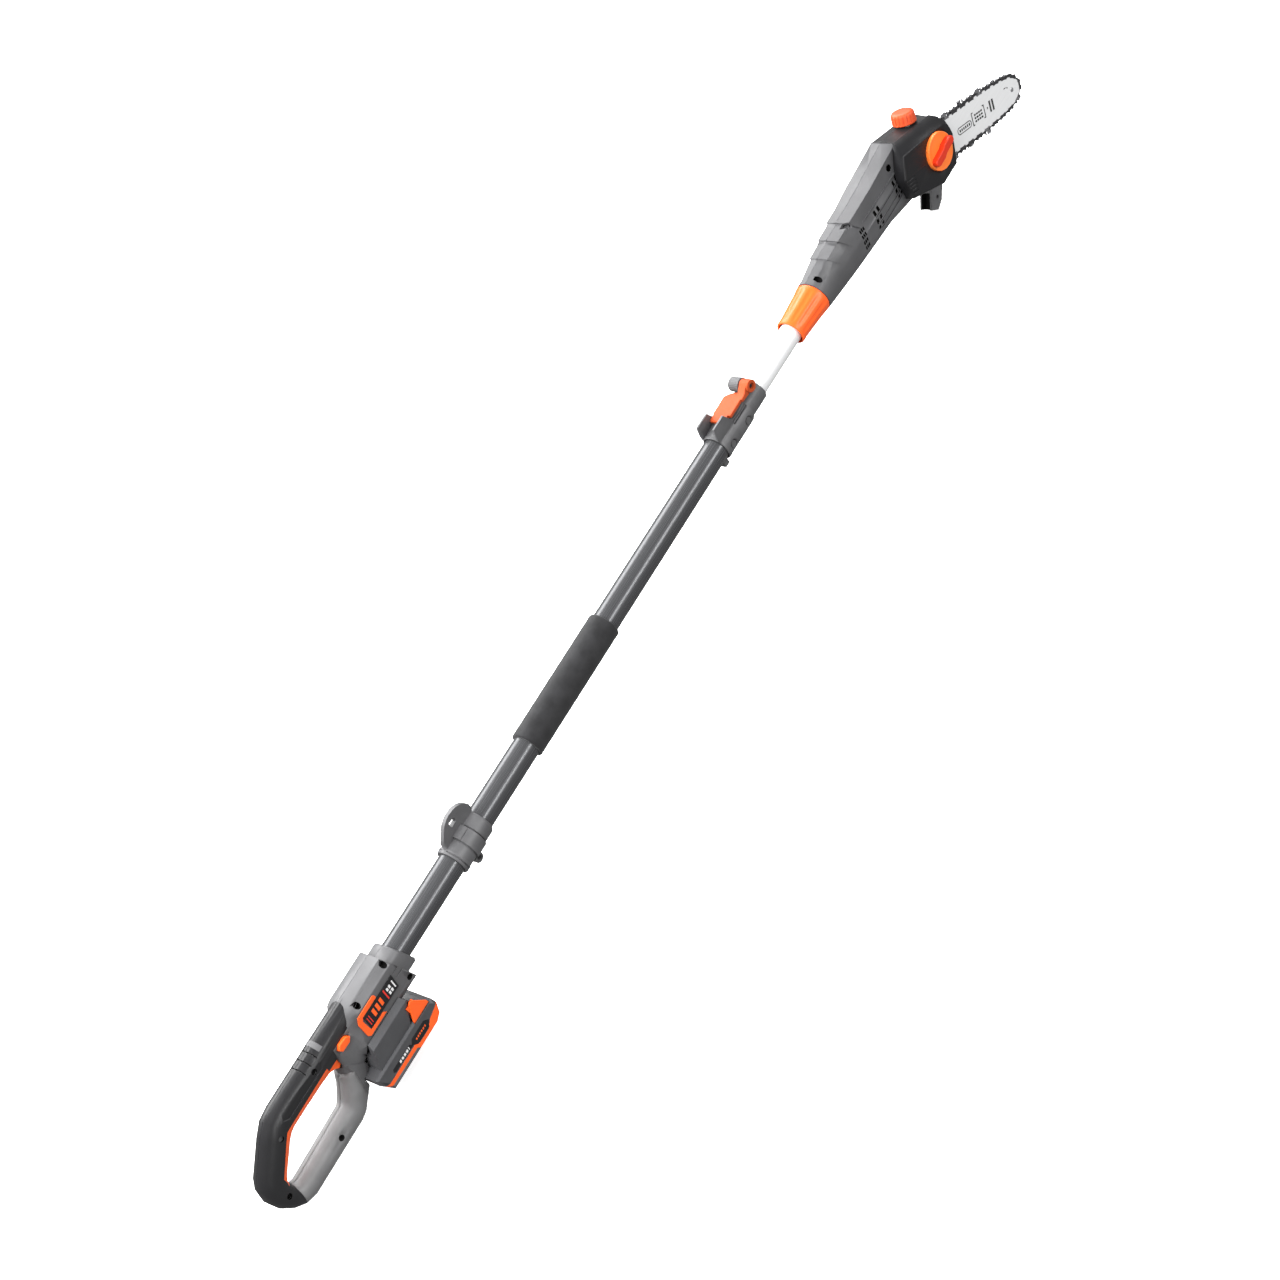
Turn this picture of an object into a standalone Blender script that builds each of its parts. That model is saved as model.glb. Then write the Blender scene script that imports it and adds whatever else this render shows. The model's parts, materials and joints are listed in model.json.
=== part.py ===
"""Telescoping pole saw: a battery handle, a two-tube pole and a bar-and-chain cutting head.

Every dimension is in millimetres in the pole frame: +X runs along the pole to the cutting head,
+Z is up, away from the battery, and -Y is the side of the bar. The frame is moved as a whole so
that the world origin lies under the middle of the tool.
"""
import math

import bmesh
import bpy
from mathutils import Vector

# ---------------------------------------------------------------- driving dimensions
MM = 0.001
FRAME_SHIFT = (-104.07, 8.0, 101.06)
GAP = 0.3

OUTER_R = 17.5
OUTER_BORE_R = 16.0
OUTER_X = (-550.0, 337.0)
INNER_R = 15.0
INNER_BORE_R = 13.4
INNER_X = (-330.0, 606.0)
FOAM_R = 21.3
FOAM_X = (-194.0, -8.0)

SKIN = 2.6
WALL = 2.4

BAR_ANGLE = math.radians(20.2)
BAR_ORIGIN = (811.0, -10.3)
BAR_Y = -27.0
BAR_THICK = 3.8
CHAIN_HALF = 3.2
CUTTER_PITCH = 38.1
SPROCKET_S = -47.0
NOSE_S = 195.5
DRIVE_TEETH = 6
NOSE_TEETH = 7

PINION_TEETH = 8
GEAR_TEETH = 24
CONE_OUTER = 19.0
CONE_INNER = 13.6

KNOB_R = 26.5
COVER_Y = -42.0

LEVER_AXIS = (360.5, 26.8)
TRIGGER_AXIS = (-634.0, 3.0)
LOCK_BUTTON = (-617.6, 8.0)

LIGHT_GREY = (0.30, 0.30, 0.31)
MID_GREY = (0.12, 0.12, 0.125)
DARK = (0.025, 0.025, 0.028)
BLACK = (0.012, 0.012, 0.014)
ORANGE = (0.85, 0.12, 0.02)
STEEL = (0.55, 0.56, 0.58)
ALUMINIUM = (0.78, 0.79, 0.80)
TUBE_GREY = (0.13, 0.13, 0.14)


# ---------------------------------------------------------------- scene and materials
for old in list(bpy.data.objects):
    bpy.data.objects.remove(old, do_unlink=True)

frame = bpy.data.objects.new("frame", None)
bpy.context.collection.objects.link(frame)
frame.location = [value * MM for value in FRAME_SHIFT]


def material(name, colour, roughness, metallic=0.0):
    made = bpy.data.materials.new(name)
    made.use_nodes = True
    shader = made.node_tree.nodes["Principled BSDF"]
    shader.inputs["Base Color"].default_value = (*colour, 1.0)
    shader.inputs["Roughness"].default_value = roughness
    shader.inputs["Metallic"].default_value = metallic
    return made


# ---------------------------------------------------------------- modelling helpers
def solid(verts, faces):
    """A working object from vertices in millimetres; its faces are turned to point outwards."""
    mesh = bpy.data.meshes.new("work")
    mesh.from_pydata([[c * MM for c in v] for v in verts], [], faces)
    shape = bmesh.new()
    shape.from_mesh(mesh)
    bmesh.ops.recalc_face_normals(shape, faces=shape.faces)
    shape.to_mesh(mesh)
    shape.free()
    work = bpy.data.objects.new("work", mesh)
    bpy.context.collection.objects.link(work)
    return work


def loft(rings, ring_closed=False):
    """Skin a row of equal rings; the ends are capped unless the row closes on itself."""
    count = len(rings[0])
    verts = [v for ring in rings for v in ring]
    faces = []
    spans = len(rings) if ring_closed else len(rings) - 1
    for i in range(spans):
        a = i * count
        b = ((i + 1) % len(rings)) * count
        for j in range(count):
            k = (j + 1) % count
            faces.append((a + j, a + k, b + k, b + j))
    if not ring_closed:
        faces.append(tuple(range(count)))
        faces.append(tuple(range((len(rings) - 1) * count, len(rings) * count)))
    return solid(verts, faces)


def on_axis(axis, along, u, v):
    """A point from its place along an axis and the two coordinates across it."""
    if axis == "X":
        return (along, u, v)
    if axis == "Y":
        return (u, along, v)
    return (u, v, along)


def prism(outline, axis, low, high):
    rings = [[on_axis(axis, along, u, v) for u, v in outline] for along in (low, high)]
    return loft(rings)


def box(x, y, z):
    return prism([(x[0], y[0]), (x[1], y[0]), (x[1], y[1]), (x[0], y[1])], "Z", z[0], z[1])


def circle(radius, centre=(0.0, 0.0), count=32, turn=0.0):
    points = []
    for i in range(count):
        angle = turn + 2.0 * math.pi * i / count
        points.append((centre[0] + radius * math.cos(angle), centre[1] + radius * math.sin(angle)))
    return points


def turned(profile, axis="X", centre=(0.0, 0.0), count=32):
    """A solid of revolution from (along, radius) stations."""
    rings = []
    for along, radius in profile:
        rings.append([on_axis(axis, along, u, v) for u, v in circle(radius, centre, count)])
    return loft(rings)


def turned_ring(profile, axis="X", centre=(0.0, 0.0), count=32):
    """A hollow solid of revolution; the (along, radius) stations close on themselves."""
    rings = []
    for along, radius in profile:
        rings.append([on_axis(axis, along, u, v) for u, v in circle(radius, centre, count)])
    return loft(rings, ring_closed=True)


def sleeve(low, high, bore, outer, axis="X", centre=(0.0, 0.0), count=32, bevel=0.0):
    if bevel:
        profile = [(low, bore), (low, outer - bevel), (low + bevel, outer),
                   (high - bevel, outer), (high, outer - bevel), (high, bore)]
    else:
        profile = [(low, bore), (low, outer), (high, outer), (high, bore)]
    return turned_ring(profile, axis, centre, count)


def rod(axis, centre, radius, low, high, count=20, bevel=0.0):
    if bevel:
        profile = [(low, radius - bevel), (low + bevel, radius), (high - bevel, radius),
                   (high, radius - bevel)]
    else:
        profile = [(low, radius), (high, radius)]
    return turned(profile, axis, centre, count)


def combine(target, operation, *tools):
    for tool in tools:
        step = target.modifiers.new("step", "BOOLEAN")
        step.operation = operation
        step.solver = "EXACT"
        step.object = tool
    graph = bpy.context.evaluated_depsgraph_get()
    result = bpy.data.meshes.new_from_object(target.evaluated_get(graph))
    target.modifiers.clear()
    shape = bmesh.new()
    shape.from_mesh(result)
    bmesh.ops.remove_doubles(shape, verts=shape.verts, dist=0.00001)
    bmesh.ops.dissolve_degenerate(shape, edges=shape.edges, dist=0.00001)
    shape.to_mesh(result)
    shape.free()
    target.data = result
    for tool in tools:
        bpy.data.objects.remove(tool, do_unlink=True)
    return target


def join(target, *tools):
    return combine(target, "UNION", *tools)


def cut(target, *tools):
    return combine(target, "DIFFERENCE", *tools)


def keep(target, tool):
    return combine(target, "INTERSECT", tool)


def copy_of(source):
    twin = source.copy()
    twin.data = source.data.copy()
    bpy.context.collection.objects.link(twin)
    return twin


def offset_outline(outline, distance):
    """Move every side of a closed outline outwards by a distance (inwards when negative)."""
    area = 0.0
    count = len(outline)
    for i in range(count):
        (x0, y0), (x1, y1) = outline[i], outline[(i + 1) % count]
        area += x0 * y1 - x1 * y0
    side = 1.0 if area > 0 else -1.0
    moved = []
    for i in range(count):
        before = Vector(outline[i - 1])
        here = Vector(outline[i])
        after = Vector(outline[(i + 1) % count])
        first = (here - before).normalized()
        second = (after - here).normalized()
        n1 = Vector((first.y, -first.x)) * side
        n2 = Vector((second.y, -second.x)) * side
        mitre = (n1 + n2) / (1.0 + n1.dot(n2))
        moved.append(tuple(here + mitre * distance))
    return moved


def finish(name, work, paint, pivot=(0.0, 0.0, 0.0), sharp=35.0):
    """Clean a working object, put its origin on the pivot and give it its name and material."""
    shape = bmesh.new()
    shape.from_mesh(work.data)
    bmesh.ops.remove_doubles(shape, verts=shape.verts, dist=0.00001)
    bmesh.ops.dissolve_degenerate(shape, edges=shape.edges, dist=0.00001)
    bmesh.ops.dissolve_limit(shape, angle_limit=math.radians(0.4), verts=shape.verts,
                             edges=shape.edges)
    bmesh.ops.triangulate(shape, faces=[f for f in shape.faces if len(f.verts) > 4])
    bmesh.ops.recalc_face_normals(shape, faces=shape.faces)
    for v in shape.verts:
        v.co -= Vector([c * MM for c in pivot])
    mesh = bpy.data.meshes.new(name)
    shape.to_mesh(mesh)
    shape.free()
    mesh.shade_smooth()
    mesh.set_sharp_from_angle(angle=math.radians(sharp))
    work.data = mesh
    mesh.materials.append(paint)
    work.name = name
    work.location = [c * MM for c in pivot]
    work.parent = frame
    return work


def sliced(work, y, side):
    """Keep the side of a closed shell beyond a plane across Y, and close it along the plane."""
    shape = bmesh.new()
    shape.from_mesh(work.data)
    everything = shape.verts[:] + shape.edges[:] + shape.faces[:]
    bmesh.ops.bisect_plane(shape, geom=everything, dist=0.000001, plane_co=(0.0, y * MM, 0.0),
                           plane_no=(0.0, side, 0.0), clear_inner=True)
    rim = [edge for edge in shape.edges if edge.is_boundary]
    bmesh.ops.triangle_fill(shape, use_beauty=True, edges=rim)
    bmesh.ops.recalc_face_normals(shape, faces=shape.faces)
    shape.to_mesh(work.data)
    shape.free()


def halves(work):
    """Split a shell along its mould seam into its -Y and +Y halves, a hair apart."""
    other = copy_of(work)
    sliced(work, -GAP / 2, -1.0)
    sliced(other, GAP / 2, 1.0)
    return work, other


def tilt(s, n):
    """A point of the bar frame: s along the bar from its stud, n across it, as (x, z)."""
    return (BAR_ORIGIN[0] + s * math.cos(BAR_ANGLE) + n * math.sin(BAR_ANGLE),
            BAR_ORIGIN[1] - s * math.sin(BAR_ANGLE) + n * math.cos(BAR_ANGLE))


def tilted(outline):
    return [tilt(s, n) for s, n in outline]


def tilted_box(s, n, y):
    return prism(tilted([(s[0], n[0]), (s[1], n[0]), (s[1], n[1]), (s[0], n[1])]), "Y", y[0], y[1])


def aligned_sleeve(origin, profile, count, closed):
    """Revolve (along, radius) stations about the line through a point along the bar's normal."""
    along = Vector((math.sin(BAR_ANGLE), 0.0, math.cos(BAR_ANGLE)))
    across = Vector((math.cos(BAR_ANGLE), 0.0, -math.sin(BAR_ANGLE)))
    side = Vector((0.0, 1.0, 0.0))
    base = Vector(origin)
    rings = []
    for station in profile:
        ring = []
        for i in range(count):
            angle = 2.0 * math.pi * i / count
            radius = station[1]
            if len(station) > 2 and i % 2:
                radius = station[2]
            ring.append(tuple(base + along * station[0]
                              + (across * math.cos(angle) + side * math.sin(angle)) * radius))
        rings.append(ring)
    return loft(rings, ring_closed=closed)


def coil(axis, centre, low, high, radius, wire, turns, steps=10, sides=5):
    """A helical spring of round wire."""
    rings = []
    total = turns * steps
    for i in range(total + 1):
        angle = 2.0 * math.pi * i / steps
        along = low + wire + (high - low - 2.0 * wire) * i / total
        ring = []
        for j in range(sides):
            turn = 2.0 * math.pi * j / sides
            spread = radius + wire * math.cos(turn)
            ring.append(on_axis(axis, along + wire * math.sin(turn),
                                centre[0] + spread * math.cos(angle),
                                centre[1] + spread * math.sin(angle)))
        rings.append(ring)
    return loft(rings)


# ---------------------------------------------------------------- materials
shell_paint = material("shell_grey", MID_GREY, 0.55)
grip_paint = material("grip_black", DARK, 0.8)
orange_paint = material("orange_plastic", ORANGE, 0.45)
label_paint = material("label_black", BLACK, 0.4)
battery_paint = material("battery_grey", (0.06, 0.06, 0.065), 0.6)
black_paint = material("black_plastic", BLACK, 0.6)
steel_paint = material("steel", STEEL, 0.3, 1.0)
dark_steel_paint = material("dark_steel", (0.2, 0.2, 0.21), 0.35, 1.0)
bar_paint = material("bar_finish", (0.75, 0.75, 0.76), 0.35, 0.6)
tube_paint = material("tube_grey", TUBE_GREY, 0.35, 0.8)
alloy_paint = material("alloy", ALUMINIUM, 0.3, 0.9)
foam_paint = material("foam", (0.018, 0.018, 0.02), 0.95)
bracket_paint = material("bracket_grey", (0.16, 0.16, 0.165), 0.5)
cell_paint = material("cell_wrap", (0.05, 0.2, 0.12), 0.5)
tank_paint = material("tank_pale", (0.75, 0.74, 0.7), 0.5)


# ---------------------------------------------------------------- rear handle
LOOP = [  # inner point, outer point and half width of the D handle, front top round to the box
    ((-566.0, -7.8), (-566.0, 33.2), 17.5),
    ((-640.0, -7.8), (-640.0, 33.4), 17.5),
    ((-724.0, -8.2), (-724.0, 33.0), 17.5),
    ((-730.0, -9.6), (-742.0, 30.0), 17.5),
    ((-737.0, -13.0), (-760.0, 18.5), 17.5),
    ((-770.0, -38.0), (-797.0, -10.0), 17.5),
    ((-774.5, -43.0), (-806.0, -22.0), 17.5),
    ((-776.0, -47.0), (-809.8, -40.0), 17.5),
    ((-775.5, -51.0), (-806.5, -59.0), 17.5),
    ((-775.0, -57.0), (-797.0, -75.5), 17.2),
    ((-772.0, -60.5), (-784.0, -88.0), 16.8),
    ((-767.0, -61.5), (-768.0, -93.6), 16.4),
    ((-672.0, -57.5), (-668.0, -93.4), 16.4),
    ((-665.0, -52.5), (-657.0, -90.0), 17.5),
    ((-652.0, -38.0), (-643.0, -81.0), 17.8),
    ((-643.5, -24.0), (-630.0, -72.0), 18.4),
    ((-639.5, -10.0), (-610.0, -48.0), 19.4),
]
HEEL = [  # the same for the root of the lower strut, where it runs into the box
    ((-642.0, -20.0), (-619.0, -58.0), 14.0),
    ((-638.6, -8.0), (-606.0, -42.0), 20.0),
    ((-636.0, 4.0), (-594.0, -20.0), 20.5),
    ((-612.0, 14.0), (-578.0, -14.0), 20.5),
]


def loop_ring(inner, outer, half_width, inset, count=18, power=2.3):
    a = Vector(inner)
    b = Vector(outer)
    middle = (a + b) / 2
    reach = (b - a) / 2
    scale = (reach.length - inset) / reach.length
    ring = []
    for i in range(count):
        angle = 2.0 * math.pi * i / count
        c = math.copysign(abs(math.cos(angle)) ** (2.0 / power), math.cos(angle))
        s = math.copysign(abs(math.sin(angle)) ** (2.0 / power), math.sin(angle))
        place = middle + reach * (s * scale)
        ring.append((place.x, c * (half_width - inset), place.y))
    return ring


def loop_body(inset, extend=0.0, stop=None):
    """The D handle's bar as a solid, inset from its skin and made longer at its front end."""
    rings = [loop_ring(a, b, w, inset) for a, b, w in LOOP[:stop]]
    rings[0] = [(x + extend, y, z) for x, y, z in rings[0]]
    return loft(rings)


def heel_body(inset):
    return loft([loop_ring(a, b, w, inset) for a, b, w in HEEL])


BOX_SECTION = [(0.0, 33.2), (16.9, 30.7), (27.0, 19.6), (27.0, -19.5), (20.0, -30.6),
               (-20.0, -30.6), (-27.0, -19.5), (-27.0, 19.6), (-16.9, 30.7)]
NOSE_SECTION = [(0.0, 23.0), (15.3, 20.6), (22.0, 12.0), (22.0, -14.0), (15.0, -21.5),
                (-15.0, -21.5), (-22.0, -14.0), (-22.0, 12.0), (-15.3, 20.6)]


def box_body(inset):
    section = offset_outline(BOX_SECTION, -inset)
    small = offset_outline(BOX_SECTION, -inset - 9.5)
    rings = [
        [(-593.0 + inset - (33.2 - z) * 0.45, y, z) for y, z in small],
        [(-581.5 + inset - (33.2 - z) * 0.45, y, z) for y, z in section],
        [(-508.7 - inset - z * 0.25, y, z) for y, z in section],
    ]
    return loft(rings)


def nose_body():
    rings = [
        [(-522.0, y, z) for y, z in NOSE_SECTION],
        [(-493.2 - z * 0.25, y, z) for y, z in NOSE_SECTION],
        [(-490.7 - z * 0.25, y * 0.9, z * 0.9) for y, z in NOSE_SECTION],
    ]
    return loft(rings)


GRIP_REGION = [(-570.0, 46.0), (-570.0, 15.5), (-632.0, 13.5), (-636.0, -9.0), (-636.0, -30.0),
               (-760.0, -46.0), (-772.0, -50.0), (-777.0, -57.0), (-789.0, -110.0),
               (-860.0, -110.0), (-860.0, 46.0)]
HANDLE_SCREWS = [(-576.0, 25.0, -22.0), (-520.0, 25.0, -22.0), (-664.0, 19.4, -17.0),
                 (-790.0, -50.7, -17.0), (-701.5, -72.0, -17.0)]

body = box_body(0.0)
join(body, nose_body())
shaft = loop_body(0.0)
join(shaft, heel_body(0.0))
cut(shaft, prism(offset_outline(GRIP_REGION, GAP), "Y", -40.0, 40.0))
join(body, shaft)
join(body, loop_body(SKIN + GAP))
cut(body, prism(offset_outline([(-604.2, -17.0), (-617.6, -50.6), (-633.0, -50.6), (-633.0, -100.0),
                                (-560.0, -100.0), (-560.0, -31.5), (-598.5, -31.5)], 0.0),
                "Y", -40.0, 40.0))

hollow = box_body(WALL)
cut(hollow, box((-900.0, -598.0), (-40.0, 40.0), (-60.0, 60.0)))
join(hollow, loop_body(SKIN + GAP + WALL), heel_body(WALL))
cut(hollow, box((-522.0, -480.0), (-40.0, 40.0), (-60.0, 60.0)))
cut(hollow, prism([(-600.8, -17.0), (-614.2, -53.0), (-628.6, -53.4), (-628.6, -100.0),
                   (-560.0, -100.0), (-560.0, -28.4), (-596.0, -28.4)], "Y", -40.0, 40.0))
cut(body, hollow)
cut(body, rod("X", (0.0, 0.0), OUTER_R + 0.2, OUTER_X[0] - GAP, -470.0, count=32))
for x, z, y in HANDLE_SCREWS:
    reach = 16.0 if y < -20.0 else 12.1
    join(body, rod("Y", (x, z), 4.9, -reach, reach, count=14))
for x, z, y in HANDLE_SCREWS:
    cut(body, rod("Y", (x, z), 3.95, -40.0, y + 3.5, count=16),
        rod("Y", (x, z), 1.7, y + 3.0, 10.0, count=12))
cut(body, rod("Y", (-510.0, -16.4), 3.95, -40.0, -24.5, count=16),
    rod("Y", (-613.8, -40.3), 3.6, -40.0, -16.5, count=16))

# slot for the trigger, seat for its spring, hole for the lock button
join(body, box((-697.0, -683.0), (-14.0, 14.0), (14.2, 17.0)))
join(body, rod("Y", LOCK_BUTTON, 6.0, 5.0, 19.2, count=14))
cut(body, box((-703.5, -627.0), (-9.5, 9.5), (-20.0, 8.0)))
cut(body, prism([(-629.4, 8.3), (-627.0, 2.0), (-612.0, 1.4), (-606.0, 7.0), (-611.0, 13.6),
                 (-624.0, 14.6)], "Y", -40.0, -10.0))
cut(body, box((-596.6, -567.4), (-14.4, 14.4), (-40.0, -15.0)))
handle_right, handle_left = halves(body)
finish("handle_half_right", handle_right, shell_paint)
finish("handle_half_left", handle_left, shell_paint)

# soft grip, wrapped round the loop, and the orange strip along its inside edge
skin = loop_body(0.0, stop=13)
cut(skin, loop_body(SKIN, 4.0, 14))
keep(skin, prism(GRIP_REGION, "Y", -40.0, 40.0))
cut(skin, box_body(-GAP))
cut(skin, box((-703.5, -627.0), (-9.5, 9.5), (-14.0, 8.0)))
for x, z, y in HANDLE_SCREWS[2:4]:
    cut(skin, rod("Y", (x, z), 3.95, -40.0, -10.0, count=16))
inside_edge = [pair[0] for pair in LOOP[1:9]]
inside_edge[0] = (-644.0, -7.8)
band_low = []
band_high = []
for i, point in enumerate(inside_edge):
    outer_point = Vector(LOOP[i + 1][1]) if i else Vector((-644.0, 33.4))
    step = (outer_point - Vector(point)).normalized()
    band_low.append(tuple(Vector(point) - step * 3.0))
    band_high.append(tuple(Vector(point) + step * 4.6))
band = band_low[:-1] + list(reversed(band_high[:-1]))
liner = copy_of(skin)
keep(liner, prism(band, "Y", -40.0, 40.0))
cut(skin, prism(offset_outline(band, 0.25), "Y", -40.0, 40.0))
cut(skin, box((-650.0, -636.4), (-40.0, 40.0), (-14.0, -3.0)))
grip_right, grip_left = halves(skin)
finish("grip_half_right", grip_right, grip_paint)
finish("grip_half_left", grip_left, grip_paint)
finish("grip_liner", liner, orange_paint)

# trigger: a paddle that swings up into the grip about a pin at its front
trigger_side = [(-630.6, 1.5), (-632.5, -9.0), (-641.0, -17.0), (-651.0, -15.5), (-668.0, -12.6),
                (-690.0, -11.8), (-700.0, -10.2), (-701.0, -7.0), (-694.0, -2.4), (-652.0, 0.5),
                (-642.0, 5.0), (-633.0, 6.5)]
trigger = prism(trigger_side, "Y", -9.0, 9.0)
finish("trigger", trigger, orange_paint, (TRIGGER_AXIS[0], 0.0, TRIGGER_AXIS[1]))
finish("trigger_spring", coil("Z", (-690.0, 0.0), -0.6, 13.9, 3.2, 0.5, 5), steel_paint)

button_side = [(-628.4, 8.3), (-626.4, 3.0), (-612.0, 2.4), (-607.2, 7.0), (-611.4, 12.6),
               (-623.4, 13.6)]
lock_button = prism(button_side, "Y", -21.6, -6.0)
cut(lock_button, rod("Y", LOCK_BUTTON, 3.4, -12.0, -5.0, count=16))
finish("lock_button", lock_button, orange_paint, (LOCK_BUTTON[0], -6.0, LOCK_BUTTON[1]))
finish("lock_spring", coil("Y", LOCK_BUTTON, -11.7, 4.7, 2.5, 0.4, 6), steel_paint)

switch = box((-657.0, -637.0), (-7.0, 7.0), (10.5, 22.0))
join(switch, box((-655.0, -649.0), (-2.5, 2.5), (9.0, 12.0)))
finish("switch_body", switch, black_paint)

terminal = box((-596.0, -568.0), (-14.0, 14.0), (-38.0, -16.0))
for y in (-9.0, 0.0, 9.0):
    cut(terminal, box((-590.0, -560.0), (y - 0.9, y + 0.9), (-42.0, -28.0)))
finish("terminal_block", terminal, black_paint)

# trim on the right side of the box
bezel = prism([(-593.5, 11.0), (-588.0, 18.4), (-557.0, 18.4), (-555.0, 16.0), (-555.0, 12.4),
               (-583.0, 12.4), (-586.5, 9.0), (-586.5, -9.0), (-562.0, -9.6), (-559.0, -14.0),
               (-592.0, -14.0), (-595.0, -10.0)], "Y", -28.3, -27.3)
finish("label_bezel", bezel, orange_paint)
label = prism([(-585.4, -8.0), (-583.6, 11.2), (-524.0, 11.2), (-527.0, -8.0)], "Y", -28.2, -27.3)
finish("label_plate", label, label_paint)


def screw(name, x, z, head_y, end_y, head_r=3.3):
    """A pan-head screw along Y with a hexagon socket, its head on the right side."""
    work = turned([(head_y, head_r - 0.5), (head_y + 0.6, head_r), (head_y + 2.4, head_r),
                   (head_y + 2.4001, 1.5), (end_y - 1.0, 1.5), (end_y, 0.9)], "Y", (x, z), 16)
    cut(work, rod("Y", (x, z), 1.5, head_y - 1.0, head_y + 1.3, count=6))
    return finish(name, work, dark_steel_paint)


for number, (x, z, y) in enumerate(HANDLE_SCREWS[:3], start=1):
    screw("handle_screw_%d" % number, x, z, y + 0.8, 9.5)

# ---------------------------------------------------------------- battery pack
UPPER_SECTION = [(-28.4, -17.0), (-35.0, -23.6), (-35.0, -50.6), (35.0, -50.6), (35.0, -23.6),
                 (28.4, -17.0)]


def pack_rings(section, rear, front, rear_lean, front_lean, top):
    return [[(rear + (top - z) * rear_lean, y, z) for y, z in section],
            [(front + (top - z) * front_lean, y, z) for y, z in section]]


upper = loft(pack_rings(UPPER_SECTION, -603.3, -538.0, -0.40, 0.32, -17.0))
cut(upper, box((-660.0, -500.0), (-27.4, 27.4), (-31.2, 0.0)))
cut(upper, box((-660.0, -560.0), (-15.0, 15.0), (-40.5, -20.0)))
cut(upper, box((-606.0, -536.0), (-29.6, 29.6), (-60.0, -43.0)))
for side in (-1.0, 1.0):
    pocket = prism([(-556.2, -55.0), (-537.6, -26.8), (-532.4, -26.8), (-518.0, -55.0)], "Y",
                   side * 37.0, side * 31.8)
    cut(upper, pocket, box((-545.0, -528.0), sorted((side * 29.0, side * 40.0)), (-49.0, -30.0)))
finish("battery_upper_shell", upper, battery_paint)

LOWER_SIDE = [(-631.6, -50.9), (-631.6, -60.0), (-621.5, -84.0), (-529.0, -84.0), (-519.0, -79.0),
              (-513.0, -66.0), (-514.0, -56.0), (-521.0, -50.9)]


def pack_slice(outline, half, chamfer):
    inner = offset_outline(outline, -chamfer)
    rings = [[(x, -half, z) for x, z in inner],
             [(x, -half + chamfer, z) for x, z in outline],
             [(x, half - chamfer, z) for x, z in outline],
             [(x, half, z) for x, z in inner]]
    return loft(rings)


BAND_SIDE = [(-640.0, -63.0), (-622.0, -71.0), (-567.0, -71.0), (-562.0, -76.0), (-543.0, -76.0),
             (-533.0, -69.0), (-500.0, -60.0), (-500.0, -90.0), (-560.0, -90.0), (-569.0, -77.0),
             (-620.0, -76.5), (-640.0, -68.5)]
lower = pack_slice(LOWER_SIDE, 38.0, 2.5)
cell_room = box((-627.0, -527.6), (-35.0, 35.0), (-77.6, -53.4))
cut(lower, cell_room, box((-611.0, -531.0), (-29.6, 29.6), (-55.0, -40.0)))
band_work = copy_of(lower)
keep(band_work, prism(BAND_SIDE, "Y", -50.0, 50.0))
cut(band_work, pack_slice(offset_outline(LOWER_SIDE, -1.5), 36.2, 2.0))
ring_cut = prism(offset_outline(BAND_SIDE, 0.2), "Y", -50.0, 50.0)
cut(ring_cut, pack_slice(offset_outline(LOWER_SIDE, -1.8), 35.9, 2.0))
cut(lower, ring_cut)
finish("battery_lower_shell", lower, battery_paint)
finish("battery_band", band_work, orange_paint)

for number in range(5):
    x = -617.0 + number * 19.8
    cell = turned([(-32.5, 8.3), (-31.7, 9.1), (31.0, 9.1), (31.8, 8.3), (31.8001, 3.0), (33.0, 3.0)],
                  "Y", (x, -64.5), 16)
    finish("battery_cell_%d" % (number + 1), cell, cell_paint)

for side, name in ((-1.0, "battery_button_right"), (1.0, "battery_button_left")):
    face = prism([(-552.6, -50.3), (-537.0, -28.0), (-533.0, -28.0), (-521.0, -50.3)], "Y",
                 side * 36.6, side * 34.4)
    stem = box((-544.0, -530.0), sorted((side * 31.2, side * 35.0)), (-48.0, -32.0))
    join(face, stem)
    finish(name, face, orange_paint)

# ---------------------------------------------------------------- pole
finish("outer_tube", sleeve(OUTER_X[0], OUTER_X[1], OUTER_BORE_R, OUTER_R, count=40), tube_paint)
finish("inner_tube", sleeve(INNER_X[0], INNER_X[1], INNER_BORE_R, INNER_R, count=40), alloy_paint)
finish("tube_bush", sleeve(-352.0, INNER_X[0] - GAP, 12.5, OUTER_BORE_R - 0.1, count=40),
       black_paint)
finish("foam_grip", sleeve(FOAM_X[0], FOAM_X[1], OUTER_R + 0.2, FOAM_R, count=40, bevel=1.2),
       foam_paint)

# strap bracket: a sleeve with a tall fin and an eye for the shoulder strap's hook
bracket = turned_ring([(-366.0, 17.7), (-366.0, 20.6), (-364.0, 21.6), (-359.0, 21.6), (-357.5, 20.8),
                       (-307.0, 20.8), (-304.0, 18.4), (-304.0, 17.7)], count=40)
FIN = [(-361.0, 18.5), (-359.3, 28.9), (-354.9, 32.9), (-349.0, 38.6), (-342.8, 43.6), (-336.0, 46.6),
       (-330.5, 48.0), (-320.7, 47.4), (-315.5, 46.0), (-310.7, 43.7), (-306.4, 40.2), (-303.2, 36.2),
       (-300.6, 30.6), (-301.6, 24.0), (-305.5, 18.5)]
join(bracket, prism(FIN, "Y", -3.2, 3.2))
eye = [(-337.0, 35.0), (-335.8, 33.4), (-328.0, 33.4), (-326.2, 35.0), (-326.2, 38.4),
       (-328.0, 40.2), (-335.8, 40.2), (-337.0, 38.4)]
cut(bracket, prism(eye, "Y", -10.0, 10.0))
finish("strap_bracket", bracket, bracket_paint)
band_ring = sleeve(-343.5, -325.0, 21.1, 22.7, count=40)
cut(band_ring, box((-350.0, -320.0), (-3.6, 3.6), (0.0, 40.0)))
boss = rod("Y", (-340.0, -23.2), 5.6, -8.2, 8.2, count=20, bevel=0.8)
cut(boss, rod("X", (0.0, 0.0), 21.3, -360.0, -320.0, count=40))
join(band_ring, boss)
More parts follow.
